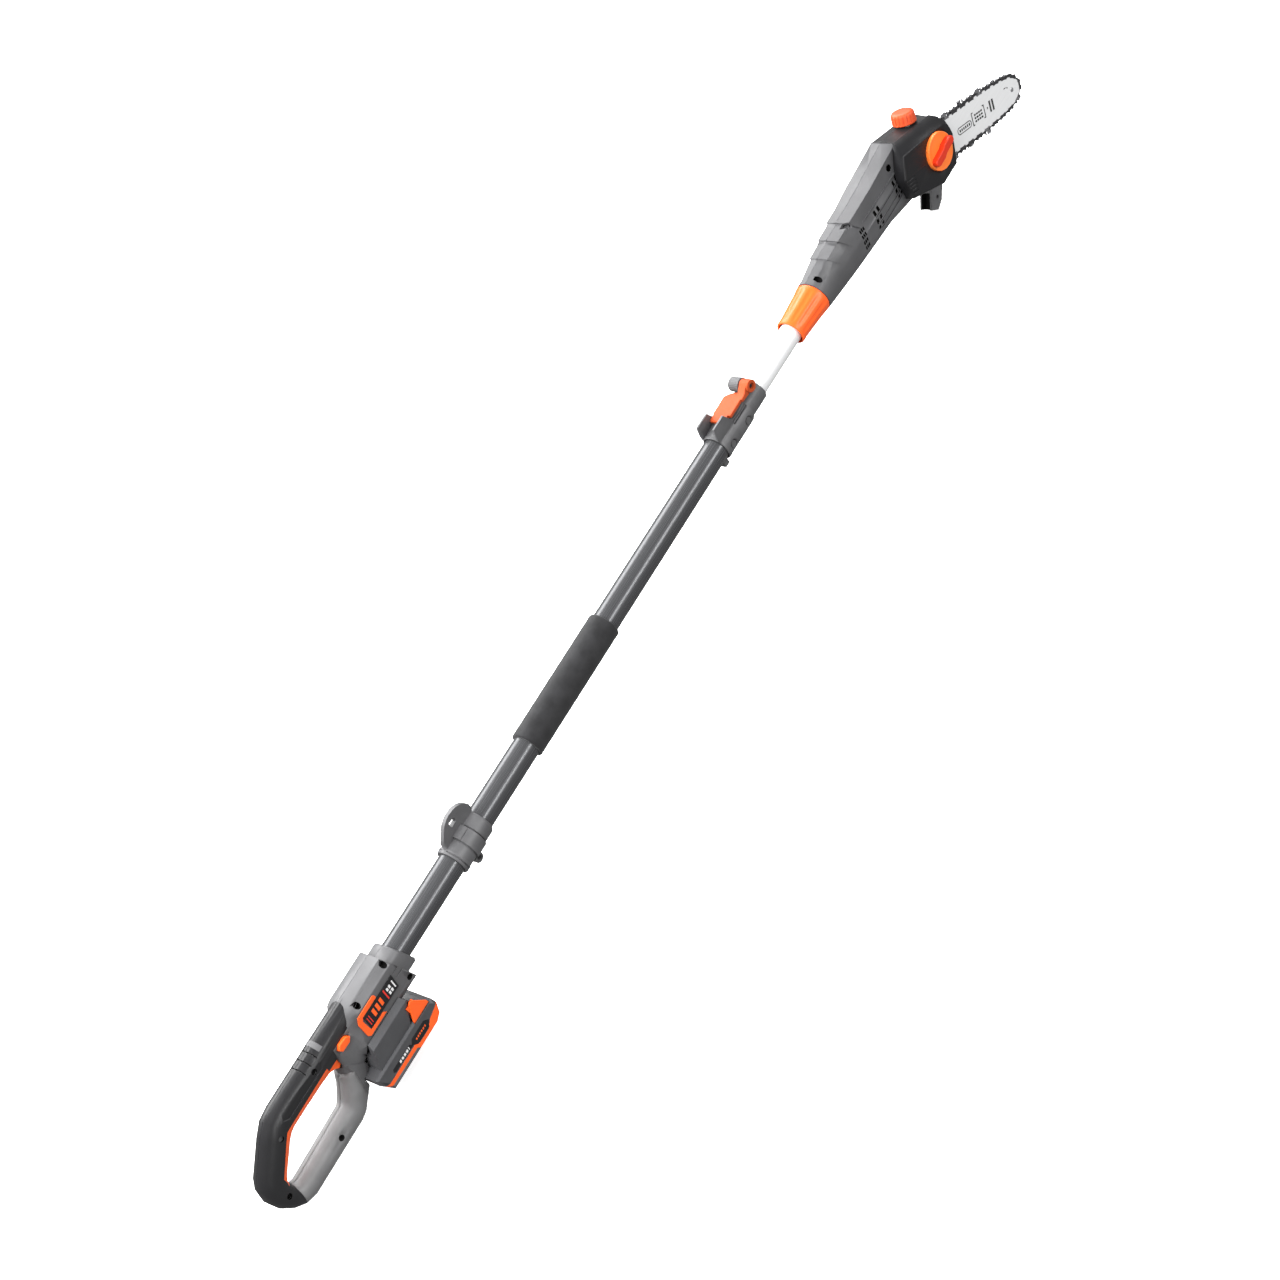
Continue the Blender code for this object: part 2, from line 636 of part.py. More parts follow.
cut(band_ring, rod("Y", (-340.0, -24.6), 3.2, -12.0, -4.0, count=16),
    rod("Y", (-340.0, -24.6), 1.7, -12.0, 6.5, count=12))
finish("strap_clamp_band", band_ring, bracket_paint)
screw("strap_screw", -340.0, -24.6, -7.4, 6.2, head_r=2.9)

# clamp that locks the two tubes: collar, cam lever, pin and barrel
collar = turned_ring([(275.5, 17.7), (275.5, 19.6), (277.5, 20.6), (281.0, 20.6), (282.0, 20.2),
                      (338.0, 20.2), (344.0, 17.8), (378.5, 17.8), (382.0, 16.4), (382.0, 15.25),
                      (OUTER_X[1] + GAP, 15.25), (OUTER_X[1] + GAP, 17.7)], count=40)
guard_side = [(275.5, 14.0), (275.5, 22.0), (279.0, 35.0), (303.0, 35.0), (309.5, 20.0),
              (309.5, 14.0)]
for side in (-1.0, 1.0):
    guard = prism(guard_side, "Y", side * 12.4, side * 15.4)
    cut(guard, rod("X", (0.0, 0.0), 18.6, 260.0, 330.0, count=40))
    join(collar, guard)
ear = box((267.5, 276.5), (-6.0, 4.0), (-26.5, -19.2))
join(collar, ear)
for x in (290.0, 329.0):
    cut(collar, rod("Y", (x, -4.0), 6.2, -30.0, -18.9, count=24))
cut(collar, prism([(308.5, -16.2), (340.5, -16.2), (340.5, -12.4), (308.5, -12.4)], "Z", 13.0, 14.6))
lug = box((352.5, 368.5), (-5.6, 10.0), (16.9, 17.9))
join(collar, lug)
finish("latch_collar", collar, bracket_paint)

LEVER_SIDE = [(299.5, 21.2), (299.5, 24.0), (302.0, 25.6), (334.0, 26.4), (344.0, 27.6), (350.0, 30.4),
              (353.0, 33.0), (353.0, 21.6), (348.0, 20.8)]
lever = prism(LEVER_SIDE, "Y", -16.4, 13.8)
cut(lever, box((290.0, 311.0), (-30.0, -11.9), (10.0, 40.0)),
    box((290.0, 311.0), (11.9, 30.0), (10.0, 40.0)),
    box((350.0, 380.0), (-6.6, 30.0), (10.0, 60.0)))
arm = prism([(342.0, 21.2), (342.0, 27.2), (350.0, 30.4), (356.0, 34.4), (360.5, 35.2),
             (360.5, 18.6), (352.0, 20.0)], "Y", -21.6, -6.6)
cut(arm, box((330.0, 345.5), (-40.0, -15.6), (0.0, 60.0)))
hub = rod("Y", LEVER_AXIS, 8.5, -21.6, -6.6, count=28, bevel=0.6)
join(lever, arm, hub)
cut(lever, rod("Y", LEVER_AXIS, 3.0, -30.0, 0.0, count=20), rod("Y", LEVER_AXIS, 3.9, -30.0, -19.4, count=20))
finish("cam_lever", lever, orange_paint, (LEVER_AXIS[0], 0.0, LEVER_AXIS[1]))
finish("lever_pin", rod("Y", LEVER_AXIS, 2.8, -19.8, 10.2, count=20, bevel=0.4), steel_paint)
barrel = rod("Y", LEVER_AXIS, 8.6, -6.2, 10.6, count=28, bevel=0.8)
cut(barrel, box((340.0, 380.0), (-10.0, 20.0), (0.0, 18.2)))
cut(barrel, rod("Y", LEVER_AXIS, 3.0, -30.0, 10.4, count=20))
finish("latch_barrel", barrel, bracket_paint)

# orange collar on the inner tube, below the head
skirt = turned_ring([(472.0, 18.0), (472.0, 19.4), (473.5, 20.4), (533.0, 24.6), (535.6, 23.6),
                     (535.6, 15.3), (505.0, 15.3), (500.0, 18.6)], count=40)
finish("lock_collar", skirt, orange_paint)

# ---------------------------------------------------------------- cutting head housing
HEAD_SECTIONS = [  # place, lean of the ring per mm of height, and the half section from top to bottom
    (536.0, 0.0, [(0.0, 25.0), (11.0, 22.6), (19.5, 15.6), (24.4, 5.0), (23.2, -9.0), (14.5, -20.4),
                  (0.0, -25.0)]),
    (562.0, 0.0, [(0.0, 28.2), (13.0, 25.6), (20.0, 16.0), (24.6, 4.0), (24.2, -10.0),
                  (17.0, -20.6), (0.0, -25.2)]),
    (600.0, 0.0, [(0.0, 33.0), (15.8, 30.2), (21.0, 17.0), (24.8, 4.0), (25.0, -12.0),
                  (20.0, -21.5), (0.0, -25.4)]),
    (640.0, 0.0, [(0.0, 36.6), (18.0, 34.2), (22.0, 18.0), (26.0, 5.0), (26.0, -14.0),
                  (20.6, -23.5), (0.0, -26.0)]),
    (694.0, 0.0, [(0.0, 40.5), (20.7, 38.2), (22.4, 18.0), (27.0, 6.0), (27.0, -16.0),
                  (23.0, -24.5), (0.0, -27.0)]),
    (724.0, 0.0, [(0.0, 43.6), (20.6, 40.4), (22.0, 18.0), (26.0, 6.0), (26.0, -20.0),
                  (22.0, -31.0), (0.0, -33.0)]),
    (762.0, 0.18, [(0.0, 48.6), (20.4, 44.0), (21.0, 24.0), (21.0, 6.0), (21.0, -20.0),
                   (20.0, -38.0), (0.0, -42.0)]),
    (839.8, 0.368, [(0.0, 20.6), (19.0, 18.4), (20.4, 8.0), (20.4, -14.0), (20.4, -34.0),
                    (18.0, -54.0), (0.0, -56.5)]),
]


def head_body(inset, first=0, trim=0.0):
    rings = []
    for place, lean, half in HEAD_SECTIONS[first:]:
        outline = half + [(-y, z) for y, z in reversed(half[1:-1])]
        outline = offset_outline(outline, -inset)
        shift = -inset if place > 800.0 else 0.0
        rings.append([(place + shift + lean * z, y, z) for y, z in outline])
    if trim:
        rings[0] = [(trim, y, z) for _, y, z in rings[0]]
    return loft(rings)


HEAD_SCREWS = [(547.0, 22.0, -14.0), (633.0, 30.6, -14.0), (739.0, 30.5, -19.5)]
SHAFT_AXIS = tilt(SPROCKET_S, 0.0)
STUD_AXIS = tilt(0.0, 0.0)

head = head_body(0.0)
room = head_body(2.6, first=2, trim=610.0)
cut(head, room)
cut(head, rod("X", (0.0, 0.0), INNER_R + 0.25, 500.0, 620.0, count=40))
for x, z, y in HEAD_SCREWS[1:]:
    reach = 15.0 if x < 700.0 else 19.6
    join(head, rod("Y", (x, z), 4.8, -reach, reach, count=14))
for side in (-1.0, 1.0):
    join(head, rod("Y", SHAFT_AXIS, 12.4, side * 12.2, side * 19.4, count=28))
join(head, rod("Y", STUD_AXIS, 8.0, -19.4, -13.6, count=20))
cut(head, rod("Y", SHAFT_AXIS, 9.7, -18.3, 18.3, count=28),
    rod("Y", SHAFT_AXIS, 5.0, -40.0, 0.0, count=20),
    rod("Y", STUD_AXIS, 4.2, -40.0, -14.6, count=20))
for x, z, y in HEAD_SCREWS:
    cut(head, rod("Y", (x, z), 4.0, -40.0, y + 4.0, count=16),
        rod("Y", (x, z), 1.7, y + 3.5, 11.0, count=12))
neck_point = tilt(-4.5, 36.0)
cut(head, aligned_sleeve((neck_point[0], 0.0, neck_point[1]), [(-8.0, 9.3), (16.0, 9.3)], 24, False))
head_right, head_left = halves(head)
finish("head_half_right", head_right, shell_paint)
finish("head_half_left", head_left, shell_paint)
for number, (x, z, y) in enumerate(HEAD_SCREWS[1:], start=1):
    screw("head_screw_%d" % number, x, z, y + 1.2, 10.6, head_r=3.4)

# ---------------------------------------------------------------- drive train
motor_body = turned([(640.0, 19.5), (641.5, 21.0), (703.5, 21.0), (704.6, 20.0), (704.6001, 7.0),
                     (707.0, 7.0)], "X", (0.0, SHAFT_AXIS[1]), 32)
cut(motor_body, rod("X", (0.0, SHAFT_AXIS[1]), 3.3, 698.0, 720.0, count=16))
finish("motor", motor_body, dark_steel_paint)

PINION_CONE = math.atan2(PINION_TEETH, GEAR_TEETH)
GEAR_CONE = math.pi / 2.0 - PINION_CONE
APEX = (SHAFT_AXIS[0], 0.0, SHAFT_AXIS[1])


def bevel_ring(teeth, cone, distance, turn):
    """One ring of bevel teeth on a sphere round the apex: (axial, u, v) points."""
    points = []
    add = math.radians(2.5)
    for i in range(teeth):
        middle = turn + 2.0 * math.pi * i / teeth
        pitch = 2.0 * math.pi / teeth
        for polar, share in ((cone - add * 1.25, -0.31), (cone + add, -0.12), (cone + add, 0.12),
                             (cone - add * 1.25, 0.31)):
            angle = middle + share * pitch
            reach = distance * math.sin(polar)
            axial = distance * math.cos(polar)
            points.append((axial, reach * math.cos(angle), reach * math.sin(angle)))
    return points


def level(ring, axial, radius=None):
    """Project a ring to one height, and to one radius when it is given."""
    out = []
    for _, u, v in ring:
        scale = 1.0 if radius is None else radius / math.hypot(u, v)
        out.append((axial, u * scale, v * scale))
    return out


def pinion_point(point):
    return (APEX[0] - point[0], point[1], APEX[2] + point[2])


def gear_point(point):
    return (APEX[0] + point[1], point[0], APEX[2] + point[2])


teeth_back = bevel_ring(PINION_TEETH, PINION_CONE, CONE_OUTER, 0.0)
teeth_front = bevel_ring(PINION_TEETH, PINION_CONE, CONE_INNER, 0.0)
front = min(p[0] for p in teeth_front) - 0.4
back = max(p[0] for p in teeth_back) + 1.2
pinion_rings = [
    level(teeth_front, front, 2.4),
    teeth_front,
    teeth_back,
    level(teeth_back, back, 4.6),
    level(teeth_back, back + 0.001, 3.0),
    level(teeth_back, APEX[0] - 699.0, 3.0),
]
pinion = loft([[pinion_point(p) for p in ring] for ring in pinion_rings])
finish("motor_pinion", pinion, steel_paint, (APEX[0] - 18.0, 0.0, APEX[2]))

half_tooth = math.pi / GEAR_TEETH
teeth_back = bevel_ring(GEAR_TEETH, GEAR_CONE, CONE_OUTER, math.pi + half_tooth)
teeth_front = bevel_ring(GEAR_TEETH, GEAR_CONE, CONE_INNER, math.pi + half_tooth)
gear_rings = [
    level(teeth_front, 3.6, 9.0),
    teeth_front,
    teeth_back,
    level(teeth_back, 9.6, 17.0),
    level(teeth_back, 10.6, 8.0),
    level(teeth_back, 10.6, 4.15),
    level(teeth_front, 3.6, 4.15),
]
gear = loft([[gear_point(p) for p in ring] for ring in gear_rings], ring_closed=True)
finish("drive_gear", gear, steel_paint, APEX)

shaft_work = turned([(-33.4, 3.4), (-32.8, 4.0), (17.4, 4.0), (18.0, 3.4)], "Y", SHAFT_AXIS, 24)
finish("sprocket_shaft", shaft_work, steel_paint, APEX)
for side, name in ((-1.0, "shaft_bearing_right"), (1.0, "shaft_bearing_left")):
    low, high = sorted((side * 12.6, side * 18.0))
    finish(name, sleeve(low, high, 4.1, 9.5, "Y", SHAFT_AXIS, 28, bevel=0.5), steel_paint)


def star(teeth, root, tip, centre, turn=0.0):
    points = []
    for i in range(teeth):
        for share, radius in ((-0.34, root), (-0.16, tip), (0.16, tip), (0.34, root)):
            angle = turn + 2.0 * math.pi * (i + share) / teeth
            points.append((centre[0] + radius * math.cos(angle),
                           centre[1] + radius * math.sin(angle)))
    return points


drive_sprocket = prism(star(DRIVE_TEETH, 10.4, 14.0, SHAFT_AXIS), "Y", BAR_Y - 2.4, BAR_Y + 2.4)
join(drive_sprocket, rod("Y", SHAFT_AXIS, 8.0, BAR_Y - 4.4, BAR_Y + 4.0, count=24))
cut(drive_sprocket, rod("Y", SHAFT_AXIS, 4.1, -45.0, -10.0, count=24))
finish("drive_sprocket", drive_sprocket, dark_steel_paint, (SHAFT_AXIS[0], BAR_Y, SHAFT_AXIS[1]))

# ---------------------------------------------------------------- oiling
tank = tilted_box((-19.0, 19.0), (-4.0, 34.0), (-10.5, 16.5))
join(tank, aligned_sleeve((neck_point[0], 0.0, neck_point[1]), [(-4.0, 8.9), (10.6, 8.9)], 24, False))
cut(tank, tilted_box((-17.0, 17.0), (-2.0, 32.0), (-8.5, 14.5)))
cut(tank, aligned_sleeve((neck_point[0], 0.0, neck_point[1]), [(-7.0, 7.2), (14.0, 7.2)], 24, False))
finish("oil_tank", tank, tank_paint)
cap = aligned_sleeve((neck_point[0], 0.0, neck_point[1]),
                     [(6.6, 15.8), (8.2, 16.6), (8.6, 16.4, 17.2), (20.0, 15.6, 16.6), (23.4, 13.6)],
                     36, False)
cut(cap, aligned_sleeve((neck_point[0], 0.0, neck_point[1]), [(5.0, 9.3), (12.4, 9.3)], 24, False))
finish("oil_cap", cap, orange_paint, (neck_point[0], 0.0, neck_point[1]))
pump = tilted_box((-34.0, -22.0), (-36.0, -25.0), (-15.0, 2.0))
join(pump, rod("Y", tilt(-28.0, -22.0), 4.0, -13.0, 0.0, count=14))
finish("oil_pump", pump, black_paint)

# ---------------------------------------------------------------- cover, knob, bar and chain
COVER_BACK = [(-62.0, 39.6), (21.0, 42.6), (33.0, 31.0), (38.0, 9.0), (32.0, -34.0), (-2.0, -47.0),
              (-66.0, -39.0), (-78.0, -8.0)]
COVER_MIDDLE = [(-65.0, 35.5), (23.4, 39.6), (33.7, 27.2), (37.9, 9.0), (32.0, -33.4), (-2.0, -46.6),
                (-66.0, -38.4), (-78.0, -7.4)]
COVER_FACE = [(-70.0, 25.0), (28.8, 30.2), (34.4, 19.0), (37.7, 8.8), (32.0, -32.6), (-2.3, -45.6),
              (-66.0, -36.6), (-78.0, -6.6)]


def cover_body(inset, face_y, back_y):
    rings = [[(x, back_y, z) for x, z in tilted(offset_outline(COVER_BACK, -inset))],
             [(x, -33.0, z) for x, z in tilted(offset_outline(COVER_MIDDLE, -inset))],
             [(x, face_y + 2.0, z) for x, z in tilted(offset_outline(COVER_FACE, -inset + 0.6))],
             [(x, face_y, z) for x, z in tilted(offset_outline(COVER_FACE, -inset - 1.2))]]
    return loft(rings)


cover = cover_body(0.0, COVER_Y, -21.3)
cut(cover, cover_body(2.6, COVER_Y + 2.6, -10.0))
join(cover, rod("Y", STUD_AXIS, 29.5, -40.6, -35.0, count=40))
cut(cover, rod("Y", STUD_AXIS, KNOB_R + 0.8, -60.0, -38.0, count=40),
    rod("Y", STUD_AXIS, 4.3, -60.0, -20.0, count=20),
    tilted_box((18.0, 60.0), (-34.5, 34.5), (-31.4, -10.0)))
cut(cover, head_body(-0.35))
finish("sprocket_cover", cover, black_paint)

knob = rod("Y", STUD_AXIS, KNOB_R, -46.4, -38.3, count=40, bevel=1.6)
grip_turn = math.radians(6.0)
grip_axis = (math.cos(grip_turn), math.sin(grip_turn))
grip_side = []
for along, across in ((-25.0, -1.2), (-22.0, -5.2), (-4.0, -5.6), (4.0, -5.6), (22.0, -5.2), (25.0, -1.2),
                      (25.0, 1.2), (22.0, 5.2), (4.0, 5.6), (-4.0, 5.6), (-22.0, 5.2), (-25.0, 1.2)):
    grip_side.append((STUD_AXIS[0] + along * grip_axis[0] - across * grip_axis[1],
                      STUD_AXIS[1] + along * grip_axis[1] + across * grip_axis[0]))
top_side = [(STUD_AXIS[0] + (x - STUD_AXIS[0]) * 0.86, STUD_AXIS[1] + (z - STUD_AXIS[1]) * 0.86)
            for x, z in grip_side]
ridge = loft([[(x, -44.0, z) for x, z in grip_side], [(x, -52.6, z) for x, z in grip_side],
              [(x, -54.0, z) for x, z in top_side]])
join(knob, ridge)
cut(knob, rod("Y", STUD_AXIS, 4.2, -42.8, -30.0, count=20))
finish("cover_knob", knob, orange_paint, (STUD_AXIS[0], COVER_Y, STUD_AXIS[1]))
finish("bar_stud", rod("Y", STUD_AXIS, 4.0, -42.4, -14.9, count=20, bevel=0.5), steel_paint)

BAR_TOP = [(-31.0, 18.0), (-27.0, 25.2), (-20.0, 26.3), (60.0, 26.4), (110.0, 26.2), (140.0, 25.2),
           (165.0, 23.4), (184.0, 21.0), (196.0, 18.4), (205.0, 13.8), (211.4, 7.6)]
BAR_OUTLINE = BAR_TOP + [(213.6, 0.0)] + [(s, -n) for s, n in reversed(BAR_TOP)]
bar = prism(tilted(BAR_OUTLINE), "Y", BAR_Y - BAR_THICK / 2, BAR_Y + BAR_THICK / 2)
slot = [(-24.0, -4.4), (22.0, -4.4), (25.0, -3.0), (26.2, 0.0), (25.0, 3.0), (22.0, 4.4),
        (-24.0, 4.4), (-27.0, 3.0), (-28.2, 0.0), (-27.0, -3.0)]
cut(bar, prism(tilted(slot), "Y", -40.0, -10.0))
NOSE_AXIS = tilt(NOSE_S, 0.0)
cut(bar, rod("Y", NOSE_AXIS, 17.6, BAR_Y - 1.1, BAR_Y + 1.1, count=28),
    rod("Y", NOSE_AXIS, 3.2, -40.0, -10.0, count=16))
finish("guide_bar", bar, bar_paint)
nose_wheel = prism(star(NOSE_TEETH, 12.4, 16.8, NOSE_AXIS), "Y", BAR_Y - 0.8, BAR_Y + 0.8)
cut(nose_wheel, rod("Y", NOSE_AXIS, 3.2, -40.0, -10.0, count=16))
finish("nose_sprocket", nose_wheel, dark_steel_paint, (NOSE_AXIS[0], BAR_Y, NOSE_AXIS[1]))
finish("nose_rivet", rod("Y", NOSE_AXIS, 3.0, BAR_Y - 2.3, BAR_Y + 2.3, count=16, bevel=0.3),
       steel_paint)


def chain_path():
    """The chain's inside edge round the bar and the drive sprocket, in the bar frame."""
    rail = offset_outline(BAR_OUTLINE, 0.4)
    upper_run = [p for p in rail[1:len(BAR_TOP)]]
    tip = [rail[len(BAR_TOP)]]
    lower_run = [(s, -n) for s, n in reversed(upper_run)]
    wheel = []
    for step in range(9):
        angle = math.radians(118.0 + 124.0 * step / 8)
        wheel.append((SPROCKET_S + 14.8 * math.cos(angle), 14.8 * math.sin(angle)))
    return upper_run + tip + lower_run + list(reversed(wheel))


def along_path(path, spacing):
    """Resample a closed path at nearly even steps, keeping its place on every side."""
    out = []
    for i, here in enumerate(path):
        after = path[(i + 1) % len(path)]
        length = math.dist(here, after)
        pieces = max(1, round(length / spacing))
        for k in range(pieces):
            out.append((here[0] + (after[0] - here[0]) * k / pieces,
                        here[1] + (after[1] - here[1]) * k / pieces))
    return out


inside = along_path(chain_path(), CUTTER_PITCH / 4)
outside = offset_outline(inside, 5.2)
rise = offset_outline(inside, 6.8)
outside = [rise[i] if i % 4 == 0 and inside[i][0] > 40.0 else outside[i]
           for i in range(len(inside))]
chain = loft([
    [(x, BAR_Y - CHAIN_HALF, z) for x, z in tilted(inside)],
    [(x, BAR_Y - CHAIN_HALF, z) for x, z in tilted(outside)],
    [(x, BAR_Y + CHAIN_HALF, z) for x, z in tilted(outside)],
    [(x, BAR_Y + CHAIN_HALF, z) for x, z in tilted(inside)],
], ring_closed=True)
finish("chain", chain, dark_steel_paint)

# ---------------------------------------------------------------- branch hook under the head
hook_side = [(793.0, -68.0), (775.5, -88.8), (787.0, -98.5), (801.6, -93.3), (816.0, -79.3),
             (828.0, -61.0), (806.0, -55.0)]
hook = prism(hook_side, "Y", -10.0, 10.0)
cut(hook, rod("Y", (797.0, -84.0), 2.7, -20.0, 20.0, count=16))
cut(hook, head_body(-0.35))
finish("branch_hook", hook, bracket_paint)
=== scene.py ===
"""Looks of the telescoping pole saw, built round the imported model.

Sizes are in millimetres in the pole frame: +X runs along the pole to the cutting head, +Z is up,
away from the battery, and -Y is the side of the bar. place() turns them into the scene's metres.
"""
import json
import math

import bmesh
import bpy
from mathutils import Matrix, Vector


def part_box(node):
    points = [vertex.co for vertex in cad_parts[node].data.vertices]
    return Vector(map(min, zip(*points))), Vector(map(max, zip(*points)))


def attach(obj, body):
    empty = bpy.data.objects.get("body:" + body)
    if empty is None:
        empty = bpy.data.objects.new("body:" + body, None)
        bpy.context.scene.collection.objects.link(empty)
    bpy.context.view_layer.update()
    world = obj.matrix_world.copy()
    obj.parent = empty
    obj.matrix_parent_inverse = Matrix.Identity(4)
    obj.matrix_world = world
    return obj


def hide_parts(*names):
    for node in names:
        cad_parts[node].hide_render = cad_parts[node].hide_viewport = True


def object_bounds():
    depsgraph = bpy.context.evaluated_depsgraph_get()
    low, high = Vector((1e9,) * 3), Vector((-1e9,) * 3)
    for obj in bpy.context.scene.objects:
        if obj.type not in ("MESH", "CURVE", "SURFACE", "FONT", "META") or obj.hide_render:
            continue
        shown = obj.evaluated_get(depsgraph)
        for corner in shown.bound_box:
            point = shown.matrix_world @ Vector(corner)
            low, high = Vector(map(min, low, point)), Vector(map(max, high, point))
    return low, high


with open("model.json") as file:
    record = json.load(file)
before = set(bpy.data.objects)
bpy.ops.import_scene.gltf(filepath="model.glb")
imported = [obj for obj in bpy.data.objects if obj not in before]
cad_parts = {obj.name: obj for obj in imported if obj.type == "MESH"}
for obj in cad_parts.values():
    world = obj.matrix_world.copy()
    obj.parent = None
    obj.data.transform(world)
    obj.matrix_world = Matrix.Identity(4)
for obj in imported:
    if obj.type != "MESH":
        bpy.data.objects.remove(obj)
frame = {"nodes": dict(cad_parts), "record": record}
cad_low, cad_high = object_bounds()
NODES = frame["nodes"]

# ---------------- the pole frame
MM = 0.001
TUBE_START = -550.0
tube_low, tube_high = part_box("outer_tube")
ORIGIN = Vector((tube_low[0] - TUBE_START * MM, (tube_low[1] + tube_high[1]) / 2,
                 (tube_low[2] + tube_high[2]) / 2))

BAR_ANGLE = math.radians(20.2)
BAR_ORIGIN = (811.0, -10.3)
BAR_Y = -27.0
BAR_FACE = BAR_Y - 1.9
COVER_Y = -42.0
GRIP_CENTRE = (0.0, 12.3)
LEVER_AXIS = (360.5, 26.8)
LABEL_FACE = -28.2
SIDES = ((-1.0, "right"), (1.0, "left"))


def place(point):
    """A point of the pole frame, in the scene's metres."""
    return ORIGIN + Vector(point) * MM


def tilt(s, n):
    """A point of the bar frame: s along the bar from its stud, n across it, as (x, z)."""
    return (BAR_ORIGIN[0] + s * math.cos(BAR_ANGLE) + n * math.sin(BAR_ANGLE),
            BAR_ORIGIN[1] - s * math.sin(BAR_ANGLE) + n * math.cos(BAR_ANGLE))


def tilted(outline):
    """An outline of the bar frame, as (x, z) points of the pole frame."""
    return [tilt(s, n) for s, n in outline]


# ---------------- materials
def new_paint(name, roughness, metallic=0.0):
    """A material with its Principled shader and object coordinates, ready for its pattern."""
    paint = bpy.data.materials.new(name)
    paint.use_nodes = True
    tree = paint.node_tree
    shader = tree.nodes["Principled BSDF"]
    shader.inputs["Roughness"].default_value = roughness
    shader.inputs["Metallic"].default_value = metallic
    where = tree.nodes.new("ShaderNodeTexCoord")
    return paint, tree, shader, where.outputs["Object"]


def noise(tree, coords, scale, stretch=(1.0, 1.0, 1.0), detail=3.0):
    """A noise pattern, drawn out into lines where one part of stretch is small."""
    mapping = tree.nodes.new("ShaderNodeMapping")
    mapping.inputs["Scale"].default_value = stretch
    tree.links.new(coords, mapping.inputs["Vector"])
    pattern = tree.nodes.new("ShaderNodeTexNoise")
    pattern.inputs["Scale"].default_value = scale
    pattern.inputs["Detail"].default_value = detail
    tree.links.new(mapping.outputs["Vector"], pattern.inputs["Vector"])
    return pattern.outputs["Fac"]


def blend_colours(tree, factor, first, second, target):
    """Colour an input by a pattern, from the first colour to the second."""
    ramp = tree.nodes.new("ShaderNodeValToRGB")
    ramp.color_ramp.elements[0].position = 0.35
    ramp.color_ramp.elements[1].position = 0.65
    ramp.color_ramp.elements[0].color = (*first, 1.0)
    ramp.color_ramp.elements[1].color = (*second, 1.0)
    tree.links.new(factor, ramp.inputs["Fac"])
    tree.links.new(ramp.outputs["Color"], target)


def vary(tree, factor, low, high, target):
    """Drive a numeric input by a pattern, between two values."""
    spread = tree.nodes.new("ShaderNodeMapRange")
    spread.inputs["To Min"].default_value = low
    spread.inputs["To Max"].default_value = high
    tree.links.new(factor, spread.inputs["Value"])
    tree.links.new(spread.outputs["Result"], target)


def rounded_edges(tree, shader, radius, height=None, depth=0.00005, strength=0.3):
    """Soft edges of a moulded or tumbled part, with a fine surface relief on top."""
    edge = tree.nodes.new("ShaderNodeBevel")
    edge.samples = 4
    edge.inputs["Radius"].default_value = radius
    if height is None:
        tree.links.new(edge.outputs["Normal"], shader.inputs["Normal"])
        return
    relief = tree.nodes.new("ShaderNodeBump")
    relief.inputs["Strength"].default_value = strength
    relief.inputs["Distance"].default_value = depth
    tree.links.new(height, relief.inputs["Height"])
    tree.links.new(edge.outputs["Normal"], relief.inputs["Normal"])
    tree.links.new(relief.outputs["Normal"], shader.inputs["Normal"])


def moulded(name, colour, roughness, edge=0.0007, grain=2600.0, strength=0.25, spread=0.08,
            specular=0.5, coat=0.0):
    """Moulded plastic or rubber: a fine spark-eroded grain and slow changes of tone."""
    paint, tree, shader, coords = new_paint(name, roughness)
    tone = noise(tree, coords, 38.0, detail=5.0)
    darker = [c * (1.0 - spread) for c in colour]
    lighter = [c * (1.0 + spread) for c in colour]
    blend_colours(tree, tone, darker, lighter, shader.inputs["Base Color"])
    vary(tree, noise(tree, coords, 160.0), roughness - 0.05, roughness + 0.05,
         shader.inputs["Roughness"])
    shader.inputs["Specular IOR Level"].default_value = specular
    shader.inputs["Coat Weight"].default_value = coat
    rounded_edges(tree, shader, edge, noise(tree, coords, grain), 0.00004, strength)
    return paint


def drawn_metal(name, colour, roughness, metallic, stretch=(0.02, 1.0, 1.0), scale=1500.0,
                strength=0.12, edge=0.0004, spread=0.1):
    """Metal with the fine lines left by drawing, turning or grinding."""
    paint, tree, shader, coords = new_paint(name, roughness, metallic)
    lines = noise(tree, coords, scale, stretch, detail=4.0)
    darker = [c * (1.0 - spread) for c in colour]
    blend_colours(tree, lines, darker, colour, shader.inputs["Base Color"])
    vary(tree, lines, roughness - 0.06, roughness + 0.08, shader.inputs["Roughness"])
    rounded_edges(tree, shader, edge, lines, 0.00002, strength)
    return paint


def cellular(name, colour, roughness):
    """Closed-cell foam: small pits of several sizes."""
    paint, tree, shader, coords = new_paint(name, roughness)
    cells = tree.nodes.new("ShaderNodeTexVoronoi")
    cells.inputs["Scale"].default_value = 900.0
    tree.links.new(coords, cells.inputs["Vector"])
    blend_colours(tree, noise(tree, coords, 60.0), [c * 0.8 for c in colour],
                  [c * 1.3 for c in colour], shader.inputs["Base Color"])
    shader.inputs["Specular IOR Level"].default_value = 0.3
    shader.inputs["Sheen Weight"].default_value = 0.15
    rounded_edges(tree, shader, 0.0012, cells.outputs["Distance"], 0.00018, 0.5)
    return paint


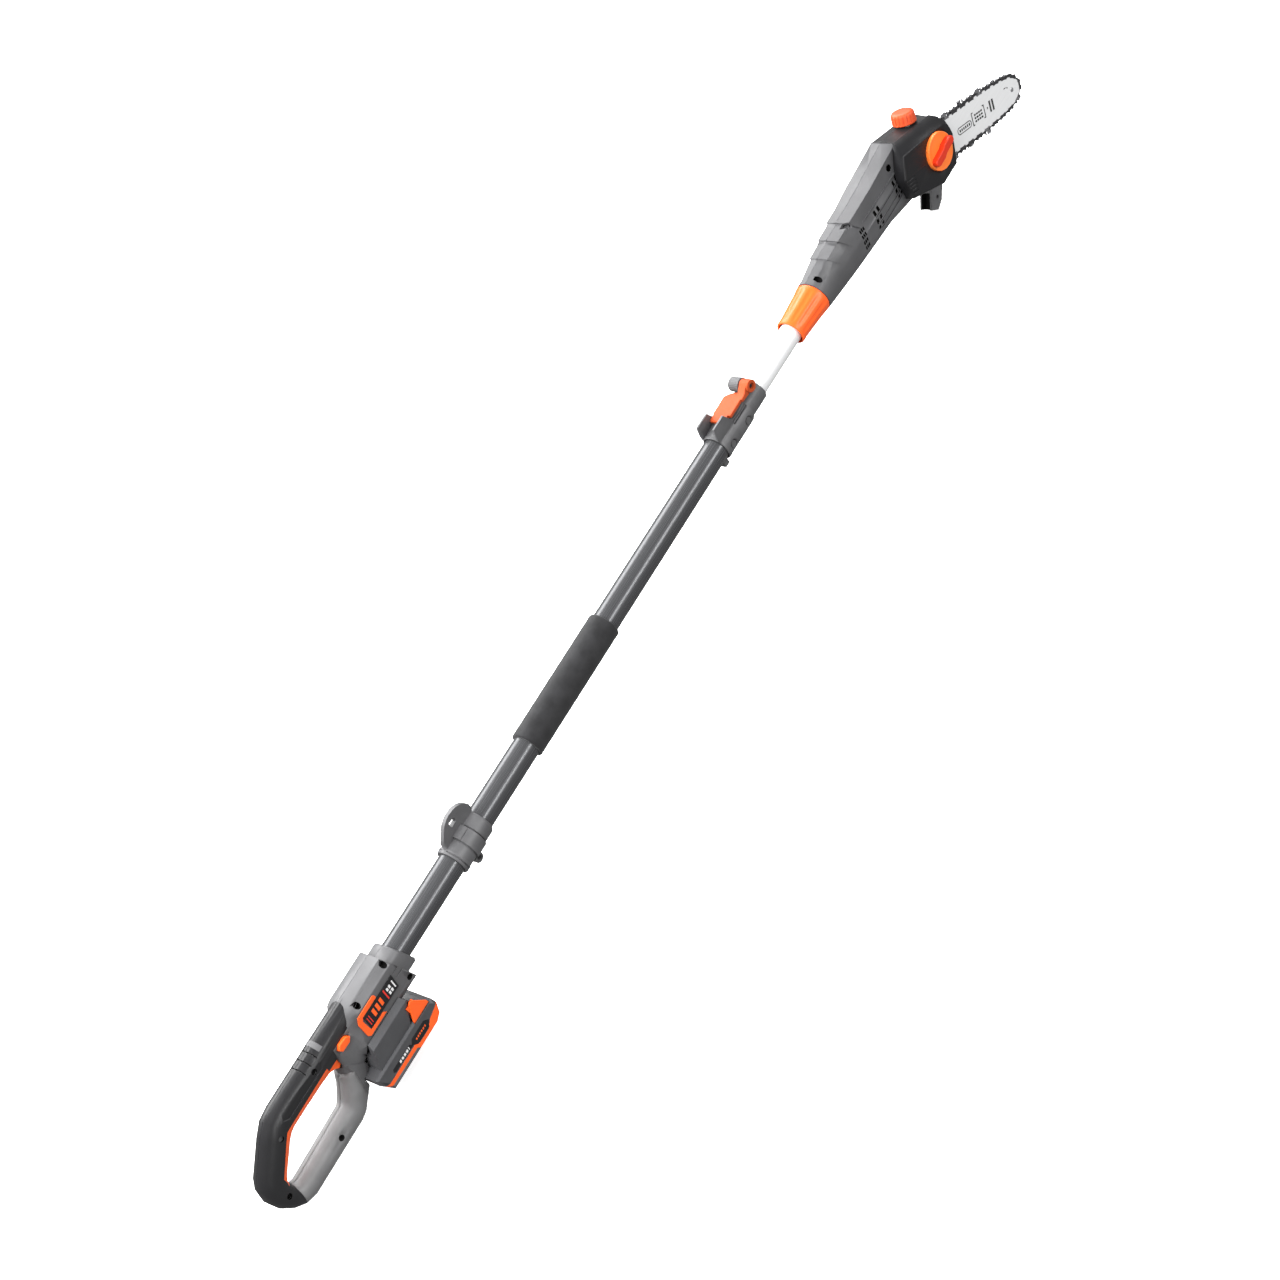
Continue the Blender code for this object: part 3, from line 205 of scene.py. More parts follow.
ORANGE = (0.93, 0.115, 0.014)
PAINTS = {
    "shell_grey": moulded("shell_grey", (0.094, 0.094, 0.097), 0.42, edge=0.0009),
    "grip_black": moulded("grip_black", (0.012, 0.012, 0.013), 0.4, grain=3400.0, strength=0.3,
                          specular=0.5),
    "orange_plastic": moulded("orange_plastic", ORANGE, 0.38, spread=0.05, edge=0.0008),
    # lit and shaded copies of the orange: painted light on the knob's disc, painted shade on its grip
    "orange_painted_light": moulded("orange_painted_light", (0.96, 0.2, 0.03), 0.34, spread=0.04, edge=0.0008),
    "orange_painted_shade": moulded("orange_painted_shade", (0.6, 0.028, 0.006), 0.36, spread=0.05, edge=0.0008),
    "lever_orange": moulded("lever_orange", (0.4, 0.06, 0.016), 0.5, spread=0.05, specular=0.2),
    "cap_orange": moulded("cap_orange", (0.6, 0.07, 0.018), 0.42, spread=0.05, edge=0.0008),
    # painted light: the lower arm is the shell's plastic, made paler for the light falling on its top
    "strut_painted_light_grey": moulded("strut_painted_light_grey", (0.165, 0.165, 0.167), 0.42, edge=0.007),
    "head_grey": moulded("head_grey", (0.074, 0.074, 0.077), 0.44, edge=0.0009),
    "housing_black": moulded("housing_black", (0.018, 0.018, 0.019), 0.45, edge=0.001,
                             specular=0.3),
    # painted shade: near-black paint for the walls and floors of recesses, vents and pockets
    "recess_painted_shade": moulded("recess_painted_shade", (0.004, 0.004, 0.004), 0.6, specular=0.1),
    "label_black": moulded("label_black", (0.008, 0.008, 0.009), 0.3, grain=5000.0, strength=0.05),
    "battery_grey": moulded("battery_grey", (0.062, 0.063, 0.067), 0.42),
    "black_plastic": moulded("black_plastic", (0.009, 0.009, 0.010), 0.42, edge=0.001,
                             specular=0.35),
    "bracket_grey": moulded("bracket_grey", (0.088, 0.088, 0.091), 0.44, edge=0.0008, spread=0.12),
    "tank_pale": moulded("tank_pale", (0.7, 0.68, 0.6), 0.3),
    "cell_wrap": moulded("cell_wrap", (0.03, 0.16, 0.09), 0.3),
    "screw_steel": drawn_metal("screw_steel", (0.04, 0.04, 0.045), 0.4, 0.8, (1.0, 1.0, 1.0)),
    "bright_steel": drawn_metal("bright_steel", (0.6, 0.61, 0.63), 0.28, 1.0, (1.0, 0.05, 1.0)),
    "chain_steel": drawn_metal("chain_steel", (0.1, 0.1, 0.105), 0.35, 0.85, (1.0, 1.0, 1.0),
                               edge=0.0002),
    "cutter_chrome": drawn_metal("cutter_chrome", (0.5, 0.5, 0.52), 0.25, 1.0, (1.0, 1.0, 1.0),
                                 edge=0.0002),
    "bar_finish": drawn_metal("bar_finish", (0.68, 0.685, 0.69), 0.5, 0.0, (0.05, 1.0, 1.0),
                              scale=700.0, spread=0.04),
    "tube_grey": drawn_metal("tube_grey", (0.085, 0.086, 0.09), 0.25, 0.55, (0.01, 1.0, 1.0),
                             spread=0.06),
    "tube_alloy": drawn_metal("tube_alloy", (0.9, 0.905, 0.91), 0.3, 0.3, (0.01, 1.0, 1.0),
                              spread=0.04),
    "foam": cellular("foam", (0.014, 0.014, 0.015), 0.75),
    "print_white": moulded("print_white", (0.75, 0.75, 0.75), 0.45, edge=0.0001),
    "print_red": moulded("print_red", (0.7, 0.03, 0.02), 0.45, edge=0.0001),
    "print_black": moulded("print_black", (0.015, 0.015, 0.016), 0.45, edge=0.0001),
}
SLOT_OF = {part["node"]: part["material_slot"] for part in frame["record"]["subparts"]}


# ---------------- modelling helpers
def shape_object(shape, name="work"):
    """An object of the scene from a bmesh, which is used up."""
    mesh = bpy.data.meshes.new(name)
    shape.to_mesh(mesh)
    shape.free()
    made = bpy.data.objects.new(name, mesh)
    bpy.context.scene.collection.objects.link(made)
    return made


def solid(verts, faces):
    """A working object from points of the pole frame, its faces turned outwards."""
    mesh = bpy.data.meshes.new("work")
    mesh.from_pydata([place(v) for v in verts], [], faces)
    shape = bmesh.new()
    shape.from_mesh(mesh)
    bmesh.ops.recalc_face_normals(shape, faces=shape.faces)
    bpy.data.meshes.remove(mesh)
    return shape_object(shape)


def loft(rings, ring_closed=False):
    """Skin a row of equal rings; the ends are capped unless the row closes on itself."""
    count = len(rings[0])
    verts = [v for ring in rings for v in ring]
    faces = []
    for i in range(len(rings) if ring_closed else len(rings) - 1):
        a = i * count
        b = ((i + 1) % len(rings)) * count
        for j in range(count):
            k = (j + 1) % count
            faces.append((a + j, a + k, b + k, b + j))
    if not ring_closed:
        faces.append(tuple(range(count)))
        faces.append(tuple(range((len(rings) - 1) * count, len(rings) * count)))
    return solid(verts, faces)


def on_axis(axis, along, u, v):
    """A point of the pole frame from its place along an axis and its two other coordinates."""
    return {"X": (along, u, v), "Y": (u, along, v), "Z": (u, v, along)}[axis]


def prism(outline, axis, low, high):
    """An outline carried straight along an axis."""
    return loft([[on_axis(axis, along, u, v) for u, v in outline] for along in (low, high)])


def box(x, y, z):
    """A block from its (low, high) reach along each axis."""
    return prism([(x[0], y[0]), (x[1], y[0]), (x[1], y[1]), (x[0], y[1])], "Z", z[0], z[1])


def circle(radius, centre=(0.0, 0.0), count=48):
    """The points of a circle."""
    return [(centre[0] + radius * math.cos(2.0 * math.pi * i / count),
             centre[1] + radius * math.sin(2.0 * math.pi * i / count)) for i in range(count)]


def turned(profile, axis="X", centre=(0.0, 0.0), count=48, ring_closed=False):
    """A solid of revolution from (along, radius) stations, hollow if the stations close."""
    return loft([[on_axis(axis, along, u, v) for u, v in circle(radius, centre, count)]
                 for along, radius in profile], ring_closed)


def combine(target, operation, *tools):
    """Apply Booleans to a working object, and remove the tools."""
    for tool in tools:
        step = target.modifiers.new("step", "BOOLEAN")
        step.operation = operation
        step.solver = "EXACT"
        step.object = tool
    graph = bpy.context.evaluated_depsgraph_get()
    result = bpy.data.meshes.new_from_object(target.evaluated_get(graph))
    target.modifiers.clear()
    target.data = result
    for tool in tools:
        bpy.data.objects.remove(tool, do_unlink=True)
    return target


def join(target, *tools):
    return combine(target, "UNION", *tools)


def cut(target, *tools):
    return combine(target, "DIFFERENCE", *tools)


def keep(target, tool):
    return combine(target, "INTERSECT", tool)


def duplicate(work):
    """A second working object with a mesh of its own."""
    made = work.copy()
    made.data = work.data.copy()
    bpy.context.scene.collection.objects.link(made)
    return made


def span(side, near, far):
    """The (low, high) reach along Y of what lies between two distances from the middle."""
    return sorted((side * near, side * far))


def offset_outline(outline, distance):
    """Move every side of a closed outline outwards by a distance (inwards when negative)."""
    count = len(outline)
    area = sum(outline[i - 1][0] * outline[i][1] - outline[i][0] * outline[i - 1][1]
               for i in range(count))
    side = 1.0 if area > 0 else -1.0
    moved = []
    for i in range(count):
        here = Vector(outline[i])
        first = (here - Vector(outline[i - 1])).normalized()
        second = (Vector(outline[(i + 1) % count]) - here).normalized()
        n1 = Vector((first.y, -first.x)) * side
        n2 = Vector((second.y, -second.x)) * side
        moved.append(tuple(here + (n1 + n2) / (1.0 + n1.dot(n2)) * distance))
    return moved


def puffed(outline, axis, low, high, round_by, steps=3):
    """A prism with rounded rims along its far end (low) and its near end (high)."""
    turns = [math.pi / 2 * i / steps for i in range(steps + 1)]
    stations = [(low + round_by * (1 - math.cos(t)), -round_by * (1 - math.sin(t))) for t in turns]
    stations += [(high - round_by * (1 - math.sin(t)), -round_by * (1 - math.cos(t)))
                 for t in turns]
    return loft([[on_axis(axis, along, u, v) for u, v in offset_outline(outline, inset)]
                 for along, inset in stations])


def cad_copy(node):
    """A working copy of a CAD node with its faces joined up again."""
    shape = bmesh.new()
    shape.from_mesh(NODES[node].data)
    bmesh.ops.remove_doubles(shape, verts=shape.verts, dist=0.000002)
    bmesh.ops.dissolve_limit(shape, angle_limit=math.radians(0.3), verts=shape.verts,
                             edges=shape.edges)
    bmesh.ops.triangulate(shape, faces=[f for f in shape.faces if len(f.verts) > 4])
    bmesh.ops.recalc_face_normals(shape, faces=shape.faces)
    return shape_object(shape)


def finish(work, name, paint, body, *nodes, sharp=34.0):
    """Clean a piece, shade it, paint it, fix it to its body and let it stand for CAD nodes."""
    shape = bmesh.new()
    shape.from_mesh(work.data)
    bmesh.ops.remove_doubles(shape, verts=shape.verts, dist=0.000004)
    bmesh.ops.dissolve_degenerate(shape, edges=shape.edges, dist=0.000004)
    bmesh.ops.recalc_face_normals(shape, faces=shape.faces)
    mesh = bpy.data.meshes.new(name)
    shape.to_mesh(mesh)
    shape.free()
    mesh.shade_smooth()
    mesh.set_sharp_from_angle(angle=math.radians(sharp))
    mesh.materials.append(PAINTS[paint])
    work.data = mesh
    work.name = name
    shading = work.modifiers.new("even shading", "WEIGHTED_NORMAL")
    shading.keep_sharp = True
    shading.weight = 80
    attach(work, body)
    if nodes:
        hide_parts(*nodes)
    return work


def repaint(work, paint, chosen):
    """Give the faces picked by chosen(x, y, z, face), in the pole frame, another paint."""
    work.data.materials.append(PAINTS[paint])
    for face in work.data.polygons:
        x, y, z = (face.center - ORIGIN) / MM
        if chosen(x, y, z, face):
            face.material_index = 1


def in_recess(spots):
    """Tells whether a face is the wall or floor of one of the round recesses, which take black
    painted shade.
    """
    def chosen(x, y, z, face):
        for spot_x, spot_z, _, _, reach in spots:
            off = math.hypot(x - spot_x, z - spot_z)
            inwards = (spot_x - x) * face.normal.x + (spot_z - z) * face.normal.z
            wall = inwards > 0.9 * off
            floor = off < 0.8 * reach and face.area < math.pi * (reach * MM) ** 2
            if y < -4.0 and off < reach and (wall or floor):
                return True
        return False
    return chosen


# round recesses of the right side: x, z, floor along Y, radius, reach of the black painted shade
SHELL_RECESSES = [(-576.0, 25.0, -9.0, 3.95, 4.0), (-520.0, 25.0, -9.0, 3.95, 4.0),
                  (-664.0, 19.4, -5.0, 3.95, 4.1), (-790.0, -50.7, -5.0, 3.95, 4.1),
                  (-701.5, -72.0, -5.0, 3.95, 4.1), (-613.8, -40.3, -8.0, 3.6, 3.7),
                  (-510.0, -16.4, -14.0, 3.95, 4.0)]
HEAD_RECESSES = [(547.0, 22.0, -8.0, 3.95, 4.0), (739.0, 30.5, -10.0, 4.8, 4.9)]
GRIP_HOLE = (-746.0, 7.4, 20.0, 3.7, 4.1)
HANDLE_RECESSES = SHELL_RECESSES + [GRIP_HOLE]


def twin(node, body, sharp=34.0):
    """A smoothly shaded stand-in of a CAD node."""
    return finish(cad_copy(node), node + "_skin", SLOT_OF[node], body, node, sharp=sharp)


# ---------------- handle
def strip_region():
    """The edge of the grip that shows as an orange strip round the hand opening."""
    return prism([(-652.0, -20.0), (-652.0, 6.5), (-736.0, 5.0), (-748.0, -4.5), (-779.0, -30.0),
                  (-779.0, -46.0), (-765.0, -46.0), (-720.0, -20.0)], "Y", -40.0, 40.0)


def rib_cutters(side):
    """Grooves across the top of one grip half, the flute along its side and the right half's hole."""
    tools = []
    for x in (-672.5, -661.0, -649.5):
        ring = turned([(x - 0.7, 15.0), (x - 0.7, 26.0), (x + 0.7, 26.0), (x + 0.7, 20.6)], "X",
                      GRIP_CENTRE, 48, ring_closed=True)
        tools.append(keep(ring, box((x - 5.0, x + 5.0), span(side, 1.0, 14.0), (18.0, 60.0))))
    if side < 0:
        x, z, end, radius, _ = GRIP_HOLE
        tools.append(turned([(-end, radius), (end, radius)], "Y", (x, z), 24))
    flute = puffed([(-731.0, 20.0), (-722.0, 24.5), (-655.0, 24.5), (-650.0, 20.0), (-655.0, 12.5),
                    (-722.0, 12.5)], "Y", *span(side, 16.0, 22.0), 0.6)
    return tools + [flute]


def grip_ring(side):
    """Half of the raised ring round the front of the grip, a little flattened across."""
    ring = turned([(-643.5, 20.0), (-642.5, 21.9), (-635.5, 21.9), (-634.5, 20.0)], "X",
                  GRIP_CENTRE, 64)
    cut(ring, turned([(-650.0, 19.0), (-630.0, 19.0)], "X", GRIP_CENTRE, 64))
    keep(ring, box((-650.0, -630.0), span(side, 0.15, 15.5), (14.0, 40.0)))
    for vertex in ring.data.vertices:
        vertex.co.y = ORIGIN.y + (vertex.co.y - ORIGIN.y) * 0.86
    return ring


def make_grip():
    """The two soft halves of the grip, with the orange strip and the ring as pieces of their own."""
    for side, hand in SIDES:
        node = "grip_half_" + hand
        strip = keep(cad_copy(node), strip_region())
        finish(strip, "grip_strip_" + hand, "orange_plastic", "handle")
        skin = cut(cad_copy(node), strip_region(), *rib_cutters(side))
        ring = grip_ring(side)
        finish(ring, "grip_ring_" + hand, "bracket_grey", "handle", sharp=50.0)
        finish(skin, "grip_skin_" + hand, "grip_black", "handle", node, sharp=40.0)
        # black painted shade inside the grip's recesses and hole
        repaint(skin, "recess_painted_shade", in_recess(HANDLE_RECESSES))
    twin("grip_liner", "handle")


def make_trigger():
    """The trigger paddle and the lock button, each with a pocket for its spring.

    The button's pocket is deeper than the CAD's, because its spring isn't shortened in a pose.
    """
    side = [(-630.6, 1.5), (-632.0, -8.0), (-636.0, -15.5), (-640.0, -17.0), (-645.0, -12.0),
            (-652.0, -8.6), (-668.0, -7.4), (-692.0, -7.0), (-700.5, -5.5), (-694.0, -2.4),
            (-652.0, 0.5), (-642.0, 5.0), (-633.0, 6.5)]
    paddle = puffed(side, "Y", -9.0, 9.0, 1.0)
    cut(paddle, turned([(-4.6, 4.4), (6.0, 4.4)], "Z", (-690.0, 0.0), 24))
    finish(paddle, "trigger_skin", "orange_plastic", "trigger", "trigger")
    button = [(-628.4, 8.3), (-626.4, 3.0), (-612.0, 2.4), (-607.2, 7.0), (-611.4, 12.6),
              (-623.4, 13.6)]
    pad = puffed(button, "Y", -21.6, -6.0, 1.4)
    cut(pad, turned([(-16.6, 3.4), (-5.0, 3.4)], "Y", (-617.6, 8.0), 24))
    finish(pad, "lock_button_skin", "orange_plastic", "lock_button", "lock_button", sharp=50.0)


def recesses(spots):
    """Deep round recesses for screws, sunk from the right side."""
    return [turned([(-45.0, radius), (depth, radius)], "Y", (x, z), 32)
            for x, z, depth, radius, _ in spots]


def sunk_screw(node, body, depth=6.5):
    """A screw twin seated deeper in its recess than the plain CAD screw."""
    work = cad_copy(node)
    for vertex in work.data.vertices:
        vertex.co.y += depth * MM
    return finish(work, node + "_skin", SLOT_OF[node], body, node)


def strut_region():
    """The lower arm of the loop, behind the battery, which takes a paler grey as painted light."""
    return prism([(-830.0, -20.0), (-700.0, -20.0), (-634.0, -30.0), (-648.0, -90.0),
                  (-830.0, -90.0)], "Y", -60.0, 60.0)


def make_shells():
    """The two shells of the handle, their lower arm in a paler grey as painted light, the recesses
    with black painted shade, and the screws in them.
    """
    right = cad_copy("handle_half_right")
    cut(right, *recesses(SHELL_RECESSES))
    for z in (9.0, 1.0):
        cut(right, box((-521.0, -505.0), (-40.0, -26.2), (z - 0.6, z + 0.6)))
    for half, hand in ((right, "right"), (cad_copy("handle_half_left"), "left")):
        strut = keep(duplicate(half), strut_region())
        cut(half, strut_region())
        finish(half, "handle_skin_" + hand, "shell_grey", "handle", "handle_half_" + hand,
               sharp=36.0)
        # the lower arm takes a paler copy of the shell's grey, as painted light
        finish(strut, "handle_strut_" + hand, "strut_painted_light_grey", "handle", sharp=50.0)
        # black painted shade inside the screw recesses
        repaint(half, "recess_painted_shade", in_recess(HANDLE_RECESSES))
        repaint(strut, "recess_painted_shade", in_recess(HANDLE_RECESSES))
    for number in (1, 2, 3):
        sunk_screw("handle_screw_%d" % number, "handle")


def printed(name, outlines, axis_y, paint, body, thick=0.16):
    """Flat printed marks as thin pads on a face across Y."""
    made = None
    for outline in outlines:
        pad = prism(outline, "Y", axis_y - thick, axis_y + 0.1)
        made = pad if made is None else join(made, pad)
    finish(made, name, paint, body)


def slanted(x, z, width, height, lean):
    """A parallelogram in the plane of a label: lower-left corner, size and lean."""
    return [(x, z), (x + width, z), (x + width + lean, z + height), (x + lean, z + height)]


def make_label():
    """The badge on the box: its trim, its plate and generic marks in place of the lettering."""
    twin("label_bezel", "handle")
    twin("label_plate", "handle")
    red = [slanted(-582.5 + 3.4 * i, -5.0, 1.2, 12.0, 1.2) for i in range(2)]
    red.append(slanted(-546.8, -6.0, 2.0, 15.0, 1.6))
    big = [slanted(-572.5 + 7.4 * i, -3.2, 4.6, 10.4, 1.4) for i in range(3)]
    white = [slanted(-541.5 + 4.4 * i, z, 3.0, 4.4, 0.5) for i in range(2) for z in (-4.6, 1.8)]
    white.append(slanted(-531.0, -4.6, 1.8, 11.0, 1.2))
    printed("label_marks_red", red, LABEL_FACE, "print_red", "handle")
    printed("label_marks_orange", big, LABEL_FACE, "orange_plastic", "handle")
    printed("label_marks_white", white, LABEL_FACE, "print_white", "handle")


# ---------------- battery
BUTTON_SIDE = [(-550.0, -54.0), (-548.4, -49.0), (-538.2, -30.4), (-535.4, -28.6), (-532.0, -29.8),
               (-519.6, -49.0), (-519.0, -54.0)]
PLATE_SLIM = [(-607.5, -69.4), (-609.5, -66.4), (-607.5, -63.0), (-573.0, -63.0), (-570.0, -69.4)]
PLATE_WIDE = [(-571.5, -67.5), (-566.0, -61.6), (-541.0, -61.6), (-535.0, -68.0), (-541.0, -75.4),
              (-564.5, -75.4)]
PLATE_FACE = -37.8
BESIDE = 45.0  # beyond the battery's sides, so that its pockets open outwards


def button_pocket(side):
    """The pocket of a release button, with a gap of 0.6 mm all round."""
    return prism(offset_outline(BUTTON_SIDE, 0.6), "Y", *span(side, 31.8, BESIDE))


def make_battery():
    """The battery's shells and band, the release buttons and the marked plates on its sides."""
    upper = cad_copy("battery_upper_shell")
    cut(upper, button_pocket(-1.0))
    cut(upper, button_pocket(1.0))
    finish(upper, "battery_upper_shell_skin", SLOT_OF["battery_upper_shell"], "battery",
           "battery_upper_shell")
    for node in ("battery_lower_shell", "battery_band"):
        work = cad_copy(node)
        for side in (-1.0, 1.0):
            reach = span(side, 37.1, BESIDE)
            cut(work, prism(offset_outline(PLATE_SLIM, 0.3), "Y", *reach),
                prism(offset_outline(PLATE_WIDE, 0.3), "Y", *reach), button_pocket(side))
        finish(work, node + "_skin", SLOT_OF[node], "battery", node)
    for side, hand in SIDES:
        face = puffed(BUTTON_SIDE, "Y", *span(side, 34.4, 36.8), 0.9)
        join(face, box((-544.0, -530.0), span(side, 31.2, 35.0), (-48.0, -32.0)))
        finish(face, "battery_button_skin_" + hand, "orange_plastic", "release_" + hand,
               "battery_button_" + hand, sharp=50.0)
    for side, hand in SIDES:
        reach = span(side, 37.0, 37.8)
        slim = puffed(PLATE_SLIM, "Y", *reach, 0.15)
        wide = puffed(PLATE_WIDE, "Y", *reach, 0.15)
        finish(slim, "battery_plate_slim_" + hand, "label_black", "battery")
        finish(wide, "battery_plate_wide_" + hand, "label_black", "battery")
    white = [slanted(-596.0 + 4.6 * i, -67.6, 3.2, 3.4, 0.5) for i in range(4)]
    white.append(slanted(-577.2, -67.9, 1.2, 4.2, 0.5))
    printed("battery_marks_white", white, PLATE_FACE, "print_white", "battery", 0.12)
    orange = [slanted(-563.0 + 3.6 * i, -69.6, 2.3, 2.6, 0.4) for i in range(6)]
    printed("battery_marks_orange", orange, PLATE_FACE, "orange_plastic", "battery", 0.12)


# ---------------- pole
def make_tubes():
    """The dark outer tube, the pale inner tube and the foam grip, whose skin is a little uneven."""
    outer = turned([(-550.0, 16.0), (-550.0, 17.3), (-549.8, 17.5), (336.6, 17.5), (337.0, 17.1),
                    (337.0, 16.0)], "X", count=96, ring_closed=True)
    finish(outer, "outer_tube_skin", "tube_grey", "handle", "outer_tube")
    inner = turned([(-330.0, 13.4), (-330.0, 15.0), (606.0, 15.0), (606.0, 13.4)], "X", count=96,
                   ring_closed=True)
    finish(inner, "inner_tube_skin", "tube_alloy", "head", "inner_tube")
    profile = [(-194.0, 17.7), (-194.0, 19.6), (-193.5, 20.7), (-192.2, 21.3)]
    steps = 24
    for i in range(steps + 1):
        along = -190.0 + 178.0 * i / steps
        profile.append((along, 21.15 + 0.12 * math.sin(i * 2.4)))
    profile += [(-9.8, 21.3), (-8.5, 20.7), (-8.0, 19.6), (-8.0, 17.7)]
    foam = turned(profile, "X", count=96, ring_closed=True)
    finish(foam, "foam_grip_skin", "foam", "handle", "foam_grip", sharp=60.0)


def make_strap_bracket():
    """The strap bracket, grooved round its ring, and the clamp band with its boss and bridge."""
    bracket = cad_copy("strap_bracket")
    for x in (-344.4, -324.0, -362.4):
        groove = turned([(x - 0.8, 19.7), (x - 0.8, 24.0), (x + 0.8, 24.0), (x + 0.8, 19.7)], "X",
                        count=64, ring_closed=True)
        cut(groove, box((x - 5.0, x + 5.0), (-4.0, 4.0), (0.0, 60.0)))
        cut(bracket, groove)
    finish(bracket, "strap_bracket_skin", "bracket_grey", "handle", "strap_bracket")
    band = cad_copy("strap_clamp_band")
    boss = turned([(-9.4, 6.0), (-8.8, 7.0), (8.8, 7.0), (9.4, 6.0)], "Y", (-340.4, -24.4), 40)
    cut(boss, turned([(-360.0, 22.9), (-320.0, 22.9)], "X", count=64),
        turned([(-12.0, 3.6), (-4.0, 3.6)], "Y", (-340.0, -24.6), 24))
    finish(boss, "strap_boss_skin", "bracket_grey", "handle")
    bridge = puffed([(-12.4, 16.0), (-12.4, 20.0), (-9.4, 23.8), (-3.0, 24.4), (-3.0, 16.0)], "X",
                    -343.8, -325.4, 0.8)
    finish(bridge, "strap_bridge", "bracket_grey", "handle")
    finish(band, "strap_clamp_band_skin", "bracket_grey", "handle", "strap_clamp_band")
    sunk_screw("strap_screw", "handle", 2.0)


def make_lever():
    """The cam lever: a flat paddle that bends up into an arm with a round hub at its end."""
    paddle = puffed([(299.5, 21.2), (299.5, 24.0), (302.0, 25.6), (334.0, 26.2), (345.0, 26.6),
                     (349.0, 24.6), (349.0, 21.0)], "Y", -16.4, 13.8, 1.0)
    cut(paddle, box((290.0, 311.0), (-30.0, -11.9), (10.0, 40.0)),
        box((290.0, 311.0), (11.9, 30.0), (10.0, 40.0)),
        prism([(334.0, 20.0), (352.0, -4.0), (352.0, 20.0)], "Z", 10.0, 40.0))
    arm = puffed([(338.0, 21.4), (338.0, 26.2), (346.0, 27.4), (352.0, 31.6), (358.0, 35.0),
                  (362.0, 30.0), (362.0, 19.4), (350.0, 20.4)], "Y", -18.8, -6.6, 1.0)
    hub = turned([(-21.6, 7.6), (-20.8, 8.5), (-7.2, 8.5), (-6.6, 8.0)], "Y", LEVER_AXIS, 64)
    join(paddle, arm, hub)
    cut(paddle, turned([(-30.0, 3.1), (0.0, 3.1)], "Y", LEVER_AXIS, 32),
        turned([(-30.0, 4.3), (-18.6, 4.3)], "Y", LEVER_AXIS, 32))
    finish(paddle, "cam_lever_skin", "lever_orange", "lever", "cam_lever", sharp=50.0)


def make_latch():
    """The length lock: the collar, the grooved barrel across it, the lever and the pin."""
    collar = cad_copy("latch_collar")
    cut(collar, box((375.5, 400.0), (-30.0, 30.0), (-30.0, 30.0)),
        box((309.0, 341.0), (-30.0, -12.0), (10.6, 12.4)))
    for x in (289.0, 327.5):
        arch = turned([(-24.0, 6.6), (-17.4, 6.6)], "Y", (x, -3.0), 40)
        cut(arch, turned([(-25.0, 5.0), (-15.0, 5.0)], "Y", (x, -3.0), 40))
        cut(collar, arch)
    finish(collar, "latch_collar_skin", "bracket_grey", "handle", "latch_collar")
    barrel = turned([(-6.0, 8.8), (-5.4, 9.8), (10.8, 9.8), (11.8, 8.8)], "Y", LEVER_AXIS, 64)
    for i in range(11):
        angle = math.radians(20.0 + 14.0 * i)
        x = LEVER_AXIS[0] + 10.1 * math.cos(angle)
        z = LEVER_AXIS[1] + 10.1 * math.sin(angle)
        cut(barrel, turned([(-4.6, 0.7), (10.2, 0.7)], "Y", (x, z), 8))
    cut(barrel, box((340.0, 380.0), (-10.0, 20.0), (0.0, 18.2)),
        turned([(-30.0, 3.0), (10.4, 3.0)], "Y", LEVER_AXIS, 24))
    finish(barrel, "latch_barrel_skin", "bracket_grey", "handle", "latch_barrel")
    make_lever()
    finish(cad_copy("lever_pin"), "lever_pin_skin", "screw_steel", "handle", "lever_pin")


def make_collar():
    """The orange collar: shallow flutes round a flared sleeve."""
    count = 120
    flutes = 12
    stations = [(472.0, 18.0, 0.0), (472.0, 19.2, 0.0), (473.0, 20.2, 0.0), (477.5, 20.6, 0.0),
                (480.0, 20.2, 0.5), (500.0, 21.6, 1.0), (520.0, 23.0, 1.0), (528.5, 23.9, 0.4),
                (531.0, 24.4, 0.0), (534.0, 24.3, 0.0), (535.6, 23.4, 0.0), (535.6, 15.3, 0.0),
                (505.0, 15.3, 0.0), (500.0, 18.6, 0.0)]
    rings = []
    for along, radius, depth in stations:
        ring = []
        for i in range(count):
            angle = 2.0 * math.pi * i / count
            wave = max(0.0, math.cos(flutes * angle)) ** 0.6
            reach = radius - 0.9 * depth * wave
            ring.append((along, reach * math.cos(angle), reach * math.sin(angle)))
        rings.append(ring)
    finish(loft(rings, ring_closed=True), "lock_collar_skin", "orange_plastic", "collar",
           "lock_collar")


# ---------------- cutting head
HEAD_SECTIONS = [  # place along the pole and the half section from top to bottom
    (536.0, [(0.0, 25.0), (11.0, 22.6), (19.5, 15.6), (24.4, 5.0), (23.2, -9.0), (14.5, -20.4),
             (0.0, -25.0)]),
    (562.0, [(0.0, 28.2), (13.0, 25.6), (20.0, 16.0), (24.6, 4.0), (24.2, -10.0), (17.0, -20.6),
             (0.0, -25.2)]),
    (600.0, [(0.0, 33.0), (15.8, 30.2), (21.0, 17.0), (24.8, 4.0), (25.0, -12.0), (20.0, -21.5),
             (0.0, -25.4)]),
    (640.0, [(0.0, 36.6), (18.0, 34.2), (22.0, 18.0), (26.0, 5.0), (26.0, -14.0), (20.6, -23.5),
             (0.0, -26.0)]),
    (694.0, [(0.0, 40.5), (20.7, 38.2), (22.4, 18.0), (27.0, 6.0), (27.0, -16.0), (23.0, -24.5),
             (0.0, -27.0)]),
    (724.0, [(0.0, 43.6), (20.6, 40.4), (22.0, 18.0), (26.0, 6.0), (26.0, -20.0), (22.0, -31.0),
             (0.0, -33.0)]),
]


def head_half_section(x):
    """The half section of the head at a place along the pole."""
    for (x0, first), (x1, second) in zip(HEAD_SECTIONS, HEAD_SECTIONS[1:]):
        if x <= x1:
            break
    share = (x - x0) / (x1 - x0)
    return [(y0 + (y1 - y0) * share, z0 + (z1 - z0) * share)
            for (y0, z0), (y1, z1) in zip(first, second)]


